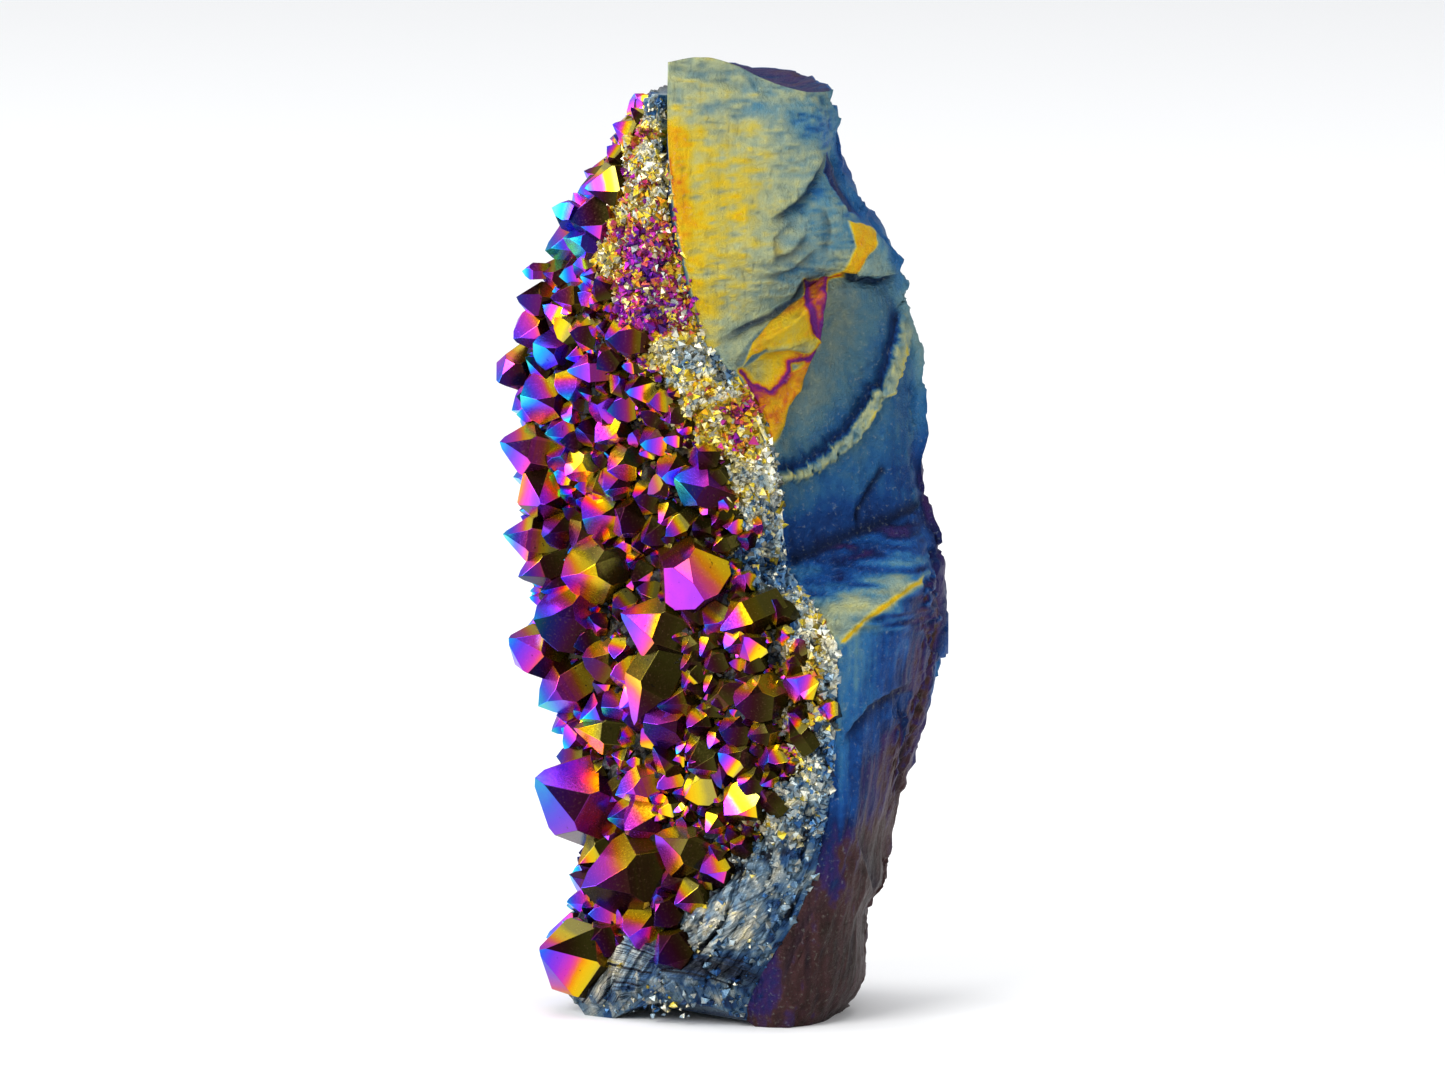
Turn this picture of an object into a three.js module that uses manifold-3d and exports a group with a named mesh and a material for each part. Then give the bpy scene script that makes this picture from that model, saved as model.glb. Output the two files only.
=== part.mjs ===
// An upright druse of coated quartz points on a broken block of host rock.
// Millimetres, +Z up, +X right and -Y to the front. The finished cluster's origin is at the middle
// of its box's base; the nets and the points below are CENTRE_Y in front of that.
// The rock is a net of rails and levels. The quartz crust wraps its left side, and the points
// stand on the crust. Both end flat at Z = 0, where the cluster rests.

import * as THREE from "three";
import { mergeVertices } from "three/addons/utils/BufferGeometryUtils.js";
import Module from "manifold-3d";

// ---- driving dimensions ----
const HEIGHT = 165; // from the foot to the top of the rock, measured up the front view
const GAP = 0.3; // clearance between the rock and the crust
const VIEW_TIP = THREE.MathUtils.degToRad(8); // the front view looks down by this much
const VIEW_FRONT = -24; // depth at which the front view's zero height is the foot
const FRONT_FACETS = 3; // facets between two front rails of the rock
const BACK_FACETS = 2; // facets between two hidden rails
const ROWS_PER_LEVEL = 2; // facet rows between two levels of the rock
const CRUST_ROWS = 20; // facet rows up the crust
const CRUST_FACETS = 7; // facets across the front of the crust
const CHIPS = { front: 0.3, hidden: 1.5, crust: 0.9 }; // how far broken faces stand out or in
const PYRAMID_RISE = 1.27; // a quartz pyramid's height over its apothem: faces at 51.8 degrees
const ARCH_SIDES = 48;
const FOOT_ARCH = { x: -6.5, width: 24, rise: 4 }; // hollow between the crust's foot and the rock's
const ARC_RIDGE_SECTION = { halfWidth: 1.4, halfHeight: 1.2 }; // the curved ridge across the lower scar
const CENTRE_Y = 2.4; // moves the finished cluster so that the middle of its box is over the origin
const FLOOR_SLAB = { side: 120, depth: 60 }; // the block that cuts everything flat at Z = 0

// ---- the rock's net ----
// A level holds the front rails from the crust's border (left) to the right edge, each point
// as [x, depth y, height in the front view]. A sharp level is a crisp edge.
const SHARP = true;
const SMOOTH = false;
const level = (name, sharp, ...front) => ({ name, sharp, front });
const LEVELS = [
  level("foot", SHARP,
    [4, -22, 0], [8, -23.5, 0], [11, -23.5, 0],
    [14.5, -21, 0], [18, -15, 0], [20, -6, 0]),
  level("heel", SMOOTH,
    [5, -23, 6.3], [9, -24.5, 6], [13, -25, 6],
    [17, -22.5, 6.5], [21, -17, 7], [24.2, -8, 8.5]),
  level("ankle", SMOOTH,
    [12.3, -25, 18.2], [14.5, -26, 17], [17, -25.5, 17],
    [20, -22.5, 17.5], [23, -16, 18.5], [24.8, -6, 20]),
  level("bump", SMOOTH,
    [15.7, -25.5, 26.5], [18, -25.5, 25.5], [20, -24, 25],
    [22.5, -21, 25], [25.5, -14, 25], [28.1, -5, 25]),
  level("shin", SMOOTH,
    [17.9, -26, 35.2], [20.5, -25.5, 35], [22.5, -23, 35],
    [24.8, -18, 35], [27, -11, 35], [29.2, -2, 35]),
  level("hip", SMOOTH,
    [19.1, -26.5, 50], [22, -25, 51], [25, -22.5, 52],
    [28.5, -18, 53], [32, -11, 54], [35.2, -2, 54]),
  level("flank", SMOOTH,
    [19.6, -27, 61], [22.5, -25.5, 63], [26, -23.5, 65],
    [30, -20, 66.5], [34.5, -12, 68], [38.2, -1, 68.3]),
  level("ledge edge", SHARP,
    [19.4, -27, 65.5], [23, -25.8, 68.5], [26.5, -24, 71.2],
    [30.2, -21.5, 73.8], [34.3, -17, 76.7], [36.6, -6, 78.5]),
  level("crease", SHARP,
    [10.8, -12.5, 78.2], [16, -12, 80.4], [21, -11, 82.6],
    [26, -10, 84.7], [31, -8.5, 86.8], [34.2, -3, 89]),
  level("low scar", SMOOTH,
    [9.2, -13.5, 93], [13.5, -11.3, 93.5], [18.5, -10, 95],
    [24, -9, 97], [29.5, -7.8, 99], [33.8, -2, 101]),
  level("middle scar", SMOOTH,
    [7.3, -14.5, 104], [11.5, -12.2, 104.5], [17.5, -10, 105.5],
    [23, -8.8, 107], [28.8, -8, 109], [33.7, -2, 110]),
  level("top of the scar", SMOOTH,
    [3, -16, 109.5], [8.5, -15, 110.5], [15.2, -12.5, 114],
    [19, -10.5, 118], [27, -9, 119], [32.3, -3, 119.5]),
  level("gold ridge", SHARP,
    [0, -17.2, 113], [5, -18, 115.4], [12, -18.5, 119.5],
    [17.3, -16, 124.5], [24, -10.5, 125.5], [31, -4, 124.5]),
  level("gold crease", SHARP,
    [-2.8, -16.8, 115.8], [4.5, -15, 119.9], [12.5, -13.5, 124.2],
    [18, -12, 127.4], [25, -9, 127.9], [30.6, -4, 128.2]),
  level("shoulder", SMOOTH,
    [-5.5, -18.8, 127], [1, -18.3, 127.6], [8, -17.3, 129],
    [15.5, -15.5, 131.6], [23, -12.8, 134.2], [28.6, -6, 133]),
  level("low groove", SMOOTH,
    [-7.6, -19.5, 136], [-1, -19, 137.5], [6, -18, 139],
    [12.4, -16, 140], [18.6, -14.2, 140.6], [22.4, -7, 140]),
  level("top of the groove", SMOOTH,
    [-9.1, -19.5, 148.5], [-3, -19, 149], [4, -18, 149],
    [11.5, -17, 149.2], [17.3, -12.6, 149.2], [19, -6, 149.5]),
  level("brow", SMOOTH,
    [-9.3, -19, 157], [-3, -18.6, 156.5], [4, -17.6, 155.5],
    [11, -16.4, 154.5], [16.6, -13.6, 154.5], [18.9, -6.5, 155]),
  level("rim", SHARP,
    [-9.2, -18, 163.4], [-3.5, -17.5, HEIGHT - 0.7], [2, -16.5, 163],
    [7.5, -15.5, 160.4], [14, -14.5, 158.5], [18.4, -8, 158.8]),
];
// Hidden rails as [height z, x, y]: right side, back right, back, and the crust's border behind.
const BACK_RAILS = [
  [[0, 20, 4], [30, 26.5, 7], [50, 33, 7], [68, 36, 8], [90, 33, 7], [125, 29.5, 5],
    [134, 26.5, 4], [145, 18.5, 2], [HEIGHT, 16.5, 1]],
  [[0, 14, 15], [14, 20, 14], [30, 19, 18], [52, 30, 15.5], [65, 28, 19], [90, 27, 15],
    [108, 22, 17], [125, 23, 12], [140, 14, 12], [HEIGHT, 12.5, 8.5]],
  [[0, 3, 19], [22, -1, 22.5], [36, 6, 20.5], [65, 4, 24], [78, 9, 21], [100, 0, 23],
    [125, 3, 16.5], [145, 1, 15], [HEIGHT, 2.5, 11]],
  [[0, -9, 14], [16, -14, 16], [30, -10.5, 18.5], [47, -17.5, 19.5], [65, -14.5, 22.5],
    [83, -19.5, 19.5], [100, -15.5, 20.5], [113, -17.5, 17], [125, -12.5, 17],
    [136, -13, 13], [145, -7.5, 12.5], [HEIGHT, -6, 9]],
];
// Rails inside the cluster, where the crust grows on the rock.
const SEAM_RAILS = [
  [[0, -11, 2], [30, -9, 5], [65, -15, 8], [100, -18, 6], [125, -15, 4], [145, -11.5, 0], [HEIGHT, -9.5, -4]],
  [[0, -4, -12], [30, 4, -12], [65, 4, -14], [78, 1, -4], [100, -4, -5], [115, -9, -8],
    [140, -11.6, -12], [HEIGHT, -10.6, -13]],
];
const TOP_DISH = [[0.72, 1.6], [0.36, 2.6], [0, 2.8]]; // share of the rim's reach, drop below it
// The curved ridge across the lower scar, as [x, depth y, height in view].
const ARC_RIDGE = [
  [31.2, -3.5, 120.5], [30.2, -5.8, 116], [29.2, -6.8, 112], [27.3, -7.4, 108],
  [24.8, -8, 104.4], [21.6, -8.8, 100.2], [17.6, -9.7, 96.6], [10, -11.3, 93],
];

// ---- the crust's rails, up the front view ----
// [height in view, x of the front border, depth there, x of the left side, depth there, bulge]
const CRUST = [
  [-5, 3, -21, -20, -12, 1.5],
  [0, 4, -22, -22, -11, 1.5],
  [6.3, 5, -23, -26.8, -9, 1.5],
  [12.2, 8.4, -24, -26.3, -6, 1.5],
  [18.2, 12.3, -25, -24.2, -3, 1.5],
  [26.5, 15.7, -25.5, -21.2, 0, 1.5],
  [38, 18.1, -26, -22.2, 2, 1.5],
  [47, 18.9, -26.3, -24.2, 3, 1.5],
  [56, 19.3, -26.8, -26.8, 4, 1.5],
  [65.5, 19.4, -27, -29.7, 4, 1.5],
  [72, 15, -20, -30.2, 4, 3.5],
  [78.2, 10.8, -13, -31, 4, 6],
  [90, 10, -13, -31.4, 4, 5.5],
  [100, 8.1, -14, -32.4, 4, 4.5],
  [109, 3.8, -15.8, -32.7, 4, 3],
  [116, -2.9, -16.6, -31, 3, 2],
  [124, -5.2, -16.4, -29.3, 2, 1],
  [132, -8.2, -16, -25.2, 0, 0.5],
  [142, -10, -15.5, -21.3, -3, 0.3],
  [150, -10.6, -15, -16.6, -6, 0.2],
  [158, -10.8, -14.5, -11.6, -9, 0],
];
const BULGE_END = 0.6; // share of the way to the left side at which the bulge dies out
const CURL = 1.9; // how late the crust's front curls round to the left side

// ---- the points ----
// Each as [tip x, tip height, base x, base height, radius, way the bright face looks]. Places
// are in the front view, and the way is in degrees: 180 left, 90 up, 270 down.
const POINTS = [
  [-24.6, 141.7, -21.3, 142, 2.9, 180], [-29, 139.2, -26.4, 138, 2.4, 150],
  [-27.1, 134.1, -22.9, 133.3, 3.2, 250], [-31.5, 128.7, -27.6, 127.8, 2.9, 120],
  [-34.1, 128.5, -32.2, 128.5, 1.5, 200], [-24.2, 127.5, -22, 127.3, 1.9, 200],
  [-35.1, 124.1, -31.4, 123.6, 3.1, 180], [-29.2, 123.9, -25.2, 124.1, 2.7, 180],
  [-35.6, 117, -32.2, 118.5, 3.4, 240], [-32.2, 116.3, -28.8, 115.1, 3.4, 250],
  [-28.6, 120.5, -25.9, 118.8, 2.7, 160], [-26.4, 111.5, -22.5, 111.7, 2.9, 190],
  [-34.4, 107.3, -30, 107.3, 4.6, 250], [-38.1, 109.5, -35.8, 111.4, 3.1, 180],
  [-38, 99.5, -33.1, 98.4, 4.2, 260], [-21.3, 105.7, -19.6, 105.2, 3.1, 200],
  [-26.8, 93.7, -23.7, 95.5, 3.1, 270], [-19.6, 94.5, -16.2, 96.1, 3.2, 150],
  [-31, 88.9, -30, 90.6, 4.8, 180], [-37.5, 83.8, -32.7, 83.1, 3.7, 110],
  [-34.9, 76.5, -30, 78.2, 3.7, 120], [-27.5, 76.5, -21.5, 77.7, 5.4, 210],
  [-32.2, 69.2, -26.3, 69.5, 5.6, 115], [-36.5, 66.1, -32.4, 64.4, 4.2, 130],
  [-31.5, 54.4, -26.4, 57.6, 4.8, 140], [-23.9, 62.9, -19.8, 62.4, 3.7, 90],
  [-17.3, 70.4, -11.5, 68.3, 5.1, 100], [-15.4, 59.8, -13.5, 61.2, 2.4, 130],
  [-15, 51.3, -11.5, 57.6, 5.1, 140], [-13.5, 51.9, -9.3, 51.9, 4.4, 260],
  [-24.4, 52.2, -20.7, 53.6, 3.1, 120], [-25.4, 50.8, -20, 50.2, 3.6, 90],
  [-32, 42.3, -24.9, 39.1, 7, 190], [-19.6, 35.4, -16.2, 36, 3.1, 120],
  [-11, 36.6, -8.6, 37.2, 2, 200], [-6.4, 39.1, -3.3, 40.8, 3.4, 200],
  [-2.8, 33.2, -1.1, 34.9, 2.2, 240], [-11.5, 32.8, -6.5, 30.4, 4.6, 260],
  [-24.1, 23.6, -15.4, 25, 7.3, 130], [-24.7, 27.4, -20.8, 29.6, 3.4, 120],
  [-31.2, 13.1, -25.2, 11.7, 6.5, 120], [-11.5, 17.3, -9.3, 19, 3.1, 200],
  [-8.2, 93.3, -4.5, 92, 3.7, 200], [-10.6, 85.5, -8.8, 87.2, 2.4, 150],
  [-10.3, 79.4, -8.4, 80.6, 2, 150], [-3.1, 72.6, -4.3, 75.7, 5.8, 200],
  [-6.7, 70.6, -4.7, 70.4, 2.6, 200], [-15.4, 75.7, -13.2, 76.7, 2.7, 200],
  [-17.1, 83.8, -15.7, 86, 3.4, 200], [-15, 89.9, -12.5, 90.1, 3.1, 130],
  [-25.6, 81.4, -23.2, 84.2, 3.1, 150], [-0.4, 67.5, 3.5, 69.2, 3.7, 200],
  [0.3, 64.4, 2.5, 65.8, 2.4, 220], [3.7, 60.4, 5.4, 61.7, 2.2, 200],
  [2.1, 54.7, 6, 56.1, 4.1, 150], [-6.9, 63.8, -5.2, 64.8, 2, 160],
  [-3.8, 63.1, -2, 64.8, 2.2, 150], [-2.8, 61, -0.8, 62.4, 2.4, 200],
  [-6.9, 57.6, -4.8, 59.7, 2.4, 170], [-0.8, 46.8, 2.5, 45.9, 3.1, 100],
  [-5.9, 44, -2.5, 45.4, 3.4, 230], [2.6, 41.1, 5.2, 42, 2.7, 200],
  [4.2, 49.6, 6.7, 50.3, 2.4, 180], [-18.3, 39.4, -13.5, 41.1, 3.2, 150],
  [-27.1, 47.1, -24.7, 49.5, 2.6, 200],
];
// Points strewn by chance between those and over the side that the front view doesn't show.
const STREWN = {
  seed: 20771, low: 15, high: 145, rise: 7, spacing: 6.7, smallest: 3.1, largest: 5.2, lean: 0.4,
};
const CROWDED = 0.56; // a strewn point this near another, over their radii, is left out
// The druse's edge towards the rock, as [height in view, x]: past it the crust is broken grains.
const DRUSE_EDGE = [
  [15, -8], [30, 1], [45, 8], [59, 9], [66, 2], [76, -1], [93, -6], [117, -16], [132, -22],
  [142, -19], [150, -15], [158, -11.4],
];
const POINT_SPREAD = 1.12; // the listed radii are the bright faces'; the whole base is wider
const POINT_ROOT = 1.7; // length of a point's shaft below its pyramid, over its radius
const STAND_OFF = 0.25; // how far a pyramid's base stands clear of the crust, over its radius
const FACE_LEAN = 0.6; // how far a bright face turns to the front

const wasm = await Module();
wasm.setup();

// ---- from the front view to space ----
const SIN = Math.sin(VIEW_TIP);
const COS = Math.cos(VIEW_TIP);

// Height of a point seen at height v in the front view and lying at depth y.
const heightAt = (v, y) => (v - (y - VIEW_FRONT) * SIN) / COS;
const seen = (x, y, v) => new THREE.Vector3(x, y, heightAt(v, y));

// A direction given across, up and into the front view.
const turned = (across, up, into) =>
  new THREE.Vector3(across, up * SIN + into * COS, up * COS - into * SIN);

// Straight interpolation in a list of [at, value, value...] knots.
function along(knots, at) {
  const next = knots.findIndex((knot) => knot[0] >= at);
  if (next < 1) return knots[next < 0 ? knots.length - 1 : 0].slice(1);
  const [low, high] = [knots[next - 1], knots[next]];
  const share = (at - low[0]) / (high[0] - low[0]);
  return low.slice(1).map((value, i) => value + share * (high[i + 1] - value));
}

// Repeatable roughness from -1 to 1 at a pair of grid numbers.
function rough(row, column) {
  const wave = Math.sin(row * 12.9898 + column * 78.233) * 43758.5453;
  return 2 * (wave - Math.floor(wave)) - 1;
}

// Repeatable draws from 0 to 1.
function drawsFrom(seed) {
  let state = seed;
  return () => {
    state = (state * 16807) % 2147483647;
    return state / 2147483647;
  };
}

// ---- meshes and solids ----
// Rings of equal length, bottom first and anticlockwise from above, closed by a fan at each end.
function ringsToGeometry(rings, foot, crown) {
  const size = rings[0].length;
  const points = [...rings.flat(), foot, crown];
  const [footAt, crownAt] = [points.length - 2, points.length - 1];
  const faces = [];
  rings.slice(1).forEach((_, row) => {
    for (let i = 0; i < size; i++) {
      const [a, b] = [row * size + i, row * size + ((i + 1) % size)];
      faces.push(a, b, b + size, a, b + size, a + size);
    }
  });
  const last = (rings.length - 1) * size;
  for (let i = 0; i < size; i++) {
    const next = (i + 1) % size;
    faces.push(footAt, next, i, crownAt, last + i, last + next);
  }
  return new THREE.BufferGeometry().setFromPoints(points).setIndex(faces);
}

function solidOf(geometry) {
  const bare = geometry.clone();
  bare.deleteAttribute("normal");
  bare.deleteAttribute("uv");
  const merged = mergeVertices(bare, 1e-4);
  const index = [...merged.index.array];
  const triVerts = [];
  for (let i = 0; i < index.length; i += 3) {
    const [a, b, c] = index.slice(i, i + 3);
    if (a !== b && b !== c && c !== a) triVerts.push(a, b, c);
  }
  const mesh = new wasm.Mesh({
    numProp: 3,
    vertProperties: merged.attributes.position.array,
    triVerts: new Uint32Array(triVerts),
  });
  return new wasm.Manifold(mesh);
}

function geometryOf(solid) {
  const { vertProperties, triVerts } = solid.getMesh();
  return new THREE.BufferGeometry()
    .setAttribute("position", new THREE.BufferAttribute(vertProperties, 3))
    .setIndex(new THREE.BufferAttribute(triVerts, 1));
}

const largest = (solid) =>
  solid.decompose().reduce((best, body) => (body.volume() > best.volume() ? body : best));

// A smooth curve through the points, sampled at `steps` to each interval, without its last point.
function sampled(points, steps) {
  const curve = new THREE.CatmullRomCurve3(points, false, "catmullrom");
  return curve.getPoints((points.length - 1) * steps).slice(0, -1);
}

// ---- rock ----
// One level's closed ring: front rails, hidden rails, then the seam back to the first rail.
// Growth moves the hidden part out, which gives the crust its clearance.
function rockRing({ front }) {
  const face = front.map(([x, y, v]) => seen(x, y, v));
  const [start, end] = [face[0], face.at(-1)];
  const rails = [...BACK_RAILS, ...SEAM_RAILS];
  const hidden = rails.map((rail, i) => {
    const z = THREE.MathUtils.lerp(end.z, start.z, (i + 1) / (rails.length + 1));
    return new THREE.Vector3(...along(rail, z), z);
  });
  const back = hidden.slice(0, BACK_RAILS.length);
  return [
    ...sampled(face, FRONT_FACETS),
    ...sampled([end, ...back], BACK_FACETS),
    ...hidden.slice(BACK_RAILS.length - 1),
  ];
}

// Rings between the levels: each column is a smooth curve, broken at the sharp levels.
function rockRings() {
  const rings = LEVELS.map(rockRing);
  rings[0].forEach((point) => point.setZ(0));
  const breaks = LEVELS.flatMap(({ sharp }, i) => (sharp ? [i] : []));
  const rows = breaks.slice(1).flatMap((stop, i) => {
    const span = rings.slice(breaks[i], stop + 1);
    const columns = span[0].map((_, c) => sampled(span.map((ring) => ring[c]), ROWS_PER_LEVEL));
    return columns[0].map((_, r) => columns.map((column) => column[r]));
  });
  return [...rows, rings.at(-1)].map((ring, row) => grownRing(ring, (column) => chipAt(row, column)));
}

// How far a point of the rock's net stands out: little on the front, more on the hidden faces,
// and not at all along the crust.
function chipAt(row, column) {
  const front = (LEVELS[0].front.length - 1) * FRONT_FACETS;
  const hidden = front + BACK_RAILS.length * BACK_FACETS;
  if (column === 0 || column >= hidden) return 0;
  return (column < front ? CHIPS.front : CHIPS.hidden) * rough(row, column);
}

// The rock with its outline grown by `growth` in plan.
function rockBlock(growth) {
  const rings = rockRings().map((ring) => grownRing(ring, () => growth));
  const rim = rings.at(-1);
  const middle = rim.reduce((sum, p) => sum.add(p), new THREE.Vector3()).divideScalar(rim.length);
  const dish = TOP_DISH.map(([share, drop]) =>
    rim.map((p) => middle.clone().lerp(p, share).setZ(THREE.MathUtils.lerp(middle.z, p.z, share) - drop)),
  );
  const foot = new THREE.Vector3(6, -2, 0);
  const crown = dish.pop()[0];
  return solidOf(ringsToGeometry([...rings, ...dish], foot, crown));
}

// Moves each point of a ring outwards in plan by what `growthAt` gives for its place.
function grownRing(ring, growthAt) {
  return ring.map((place, i) => {
    const before = ring.at(i - 1);
    const after = ring[(i + 1) % ring.length];
    const out = new THREE.Vector3(after.y - before.y, before.x - after.x, 0).normalize();
    return place.clone().addScaledVector(out, growthAt(i));
  });
}

// The curved ridge that crosses the lower scar, half sunk in it.
function arcRidge() {
  const { halfWidth, halfHeight } = ARC_RIDGE_SECTION;
  const path = new THREE.CatmullRomCurve3(ARC_RIDGE.map(([x, y, v]) => seen(x, y, v)));
  const section = new THREE.Shape(
    new THREE.EllipseCurve(0, 0, halfHeight, halfWidth).getPoints(7).slice(0, -1),
  );
  return solidOf(new THREE.ExtrudeGeometry(section, { steps: 12, extrudePath: path }));
}

// ---- crust ----
// A point of the crust's front: share 0 at the rock's edge, 1 at the left side.
function crustPoint(share, v) {
  const [frontX, frontY, sideX, sideY, bulge] = along(CRUST, v);
  const swell = bulge * Math.sin(Math.PI * Math.min(1, share / BULGE_END));
  const y = THREE.MathUtils.lerp(frontY, sideY, share ** CURL) - swell;
  return seen(THREE.MathUtils.lerp(frontX, sideX, share), y, v);
}

// Where a place of the front view lies on the crust; past its sides it takes the nearest edge.
function crustUnder(x, v) {
  const [frontX, , sideX] = along(CRUST, v);
  const share = THREE.MathUtils.clamp((x - frontX) / (sideX - frontX), 0, 1);
  return crustPoint(share, v).setX(x);
}

// The hidden side of the crust: share 0 at the left side, 1 at its border behind.
function crustSide(share, v) {
  const left = crustPoint(1, v);
  const border = new THREE.Vector3(...along(BACK_RAILS.at(-1), left.z), left.z);
  const bend = new THREE.Vector3(left.x - 0.5, THREE.MathUtils.lerp(left.y, border.y, 0.75), left.z);
  return new THREE.QuadraticBezierCurve3(left, bend, border).getPoint(share);
}

function crustRing(v, row) {
  const front = Array.from({ length: CRUST_FACETS + 1 }, (_, i) => {
    const point = crustPoint(1 - i / CRUST_FACETS, v);
    const edge = i === 0 || i === CRUST_FACETS ? 0 : 1;
    return point.add(new THREE.Vector3(-0.5, -1, 0).multiplyScalar(CHIPS.crust * edge * rough(row, i)));
  });
  const side = [1, 0.75, 0.5, 0.25].map((share) => crustSide(share, v));
  const z = side[0].z;
  const inner = SEAM_RAILS.map((rail) => new THREE.Vector3(...along(rail, z), z));
  inner[0].x += 3;
  inner[1].add(new THREE.Vector3(3, 3, 0));
  return [...side, ...front, ...inner.reverse()];
}

function crustBlock() {
  const [low, high] = [CRUST[0][0], CRUST.at(-1)[0]];
  const rings = Array.from({ length: CRUST_ROWS + 1 }, (_, row) =>
    crustRing(THREE.MathUtils.lerp(low, high, row / CRUST_ROWS), row),
  );
  const middle = (ring) =>
    ring.reduce((sum, p) => sum.add(p), new THREE.Vector3()).divideScalar(ring.length);
  return solidOf(ringsToGeometry(rings, middle(rings[0]), middle(rings.at(-1))));
}

// ---- points ----
// A six-sided shaft with a six-sided pyramid, its tip `reach` beyond its base along `axis`, one
// pyramid face turned towards `facing`.
function point(base, axis, reach, radius, facing) {
  const profile = [[0, -POINT_ROOT], [0.85, -POINT_ROOT], [1, 0]].map(
    ([r, h]) => new THREE.Vector2(r * radius, h * radius),
  );
  const shape = new THREE.LatheGeometry([...profile, new THREE.Vector2(0, reach)], 6);
  const outward = facing.clone().addScaledVector(axis, -facing.dot(axis)).normalize();
  const frame = new THREE.Matrix4().makeBasis(outward.clone().cross(axis).negate(), axis, outward);
  // A lathe's first corner lies on its Z axis, so a half side turns a face there.
  shape.rotateY(Math.PI / 6).applyMatrix4(frame).translate(base.x, base.y, base.z);
  return solidOf(shape);
}

const fullRise = (radius) => PYRAMID_RISE * radius * Math.cos(Math.PI / 6);

// A point given by its tip and its base in the front view: what the view foreshortens leans out.
function shownPoint([tipX, tipV, baseX, baseV, listed, way]) {
  const radius = POINT_SPREAD * listed;
  const full = fullRise(radius);
  const [across, up] = [tipX - baseX, tipV - baseV];
  const shown = Math.hypot(across, up);
  const reach = Math.max(full, shown);
  const axis = turned(across, up, -Math.sqrt(reach ** 2 - shown ** 2)).normalize();
  const out = turned(0, 0, -STAND_OFF * radius);
  const angle = THREE.MathUtils.degToRad(way);
  const facing = turned(Math.cos(angle), Math.sin(angle), -FACE_LEAN);
  return point(crustUnder(baseX, baseV).add(out), axis, reach, radius, facing);
}

// The druse from its edge on the front (way 0) round the left side (1) to the back (2).
function drusePlace(way, v) {
  if (way > 1) return crustSide(way - 1, v);
  const [frontX, , sideX] = along(CRUST, v);
  const start = (along(DRUSE_EDGE, v)[0] - frontX) / (sideX - frontX);
  return crustPoint(THREE.MathUtils.lerp(start, 1, way), v);
}

// Points strewn over the druse in rows, each square to the crust but for a lean, and none of
// them crowding a point that is there already.
function strewnPoints(shown) {
  const draw = drawsFrom(STREWN.seed);
  const { low, high, rise, spacing, smallest, largest: biggest } = STREWN;
  const taken = shown.map(([, , x, v, radius]) => ({ base: crustUnder(x, v), radius }));
  const made = [];
  for (let v = low; v < high; v += rise) {
    const reach = [0, 1].map((way) => drusePlace(way, v).distanceTo(drusePlace(way + 1, v)));
    for (let way = 0.06; way < 1.95; way += spacing / Math.max(spacing, reach[Math.floor(way)])) {
      const [place, height] = [way + 0.12 * (draw() - 0.5), v + rise * (draw() - 0.5)];
      const radius = THREE.MathUtils.lerp(smallest, biggest, draw() ** 1.5);
      const lean = new THREE.Vector3(draw() - 0.9, draw() - 0.6, draw() - 0.8).multiplyScalar(STREWN.lean);
      const facing = new THREE.Vector3(draw() - 0.5, draw() - 0.5, draw() - 0.5);
      const base = drusePlace(Math.max(0, place), height);
      const crowds = (other) => other.base.distanceTo(base) < CROWDED * (other.radius + radius);
      if (taken.some(crowds)) continue;
      taken.push({ base, radius });
      const ahead = drusePlace(Math.max(0, place) + 0.04, height).sub(base);
      const axis = new THREE.Vector3(-ahead.y, ahead.x, 0).normalize().add(lean).normalize();
      made.push(point(base, axis, fullRise(radius), radius, facing));
    }
  }
  return made;
}

// ---- assembly ----
// What lies under the foot's level, and the low arch between the two feet.
function floorCutters() {
  const slab = new THREE.BoxGeometry(FLOOR_SLAB.side, FLOOR_SLAB.side, FLOOR_SLAB.depth);
  slab.translate(0, 0, -FLOOR_SLAB.depth / 2);
  const { x, width, rise } = FOOT_ARCH;
  const radius = (width ** 2 / 4 + rise ** 2) / (2 * rise);
  const arch = new THREE.CylinderGeometry(radius, radius, FLOOR_SLAB.side, ARCH_SIDES);
  arch.translate(x, 0, rise - radius);
  return [solidOf(slab), solidOf(arch)];
}

function named(name, solid, finish) {
  const material = new THREE.MeshStandardMaterial({ ...finish, flatShading: true });
  const mesh = new THREE.Mesh(geometryOf(solid).translate(0, CENTRE_Y, 0), material);
  mesh.name = name;
  return mesh;
}

const [floor, arch] = floorCutters();
const rock = largest(rockBlock(0).add(arcRidge()).subtract(arch));
const druse = [...POINTS.map(shownPoint), ...strewnPoints(POINTS)]
  .reduce((all, one) => all.add(one), crustBlock())
  .subtract(rockBlock(GAP))
  .subtract(floor)
  .subtract(arch);

const cluster = new THREE.Group();
cluster.add(
  named("matrix_rock", rock, { color: 0x566a70, roughness: 0.5, metalness: 0.3 }),
  named("quartz_crystals", largest(druse), { color: 0x7a2a8c, roughness: 0.2, metalness: 0.7 }),
);

export default cluster;
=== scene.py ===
"""Looks of an upright druse of coated quartz points on a broken block of host rock.

Lengths are in millimetres until a mesh is made, which turns them to metres. The rock is a net
of rails and levels, the crust a sheet over its left side, and the points stand on the crust.
"""

from __future__ import annotations

import logging
import math
from dataclasses import dataclass, field
from enum import Enum
from typing import Any, Sequence

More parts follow.
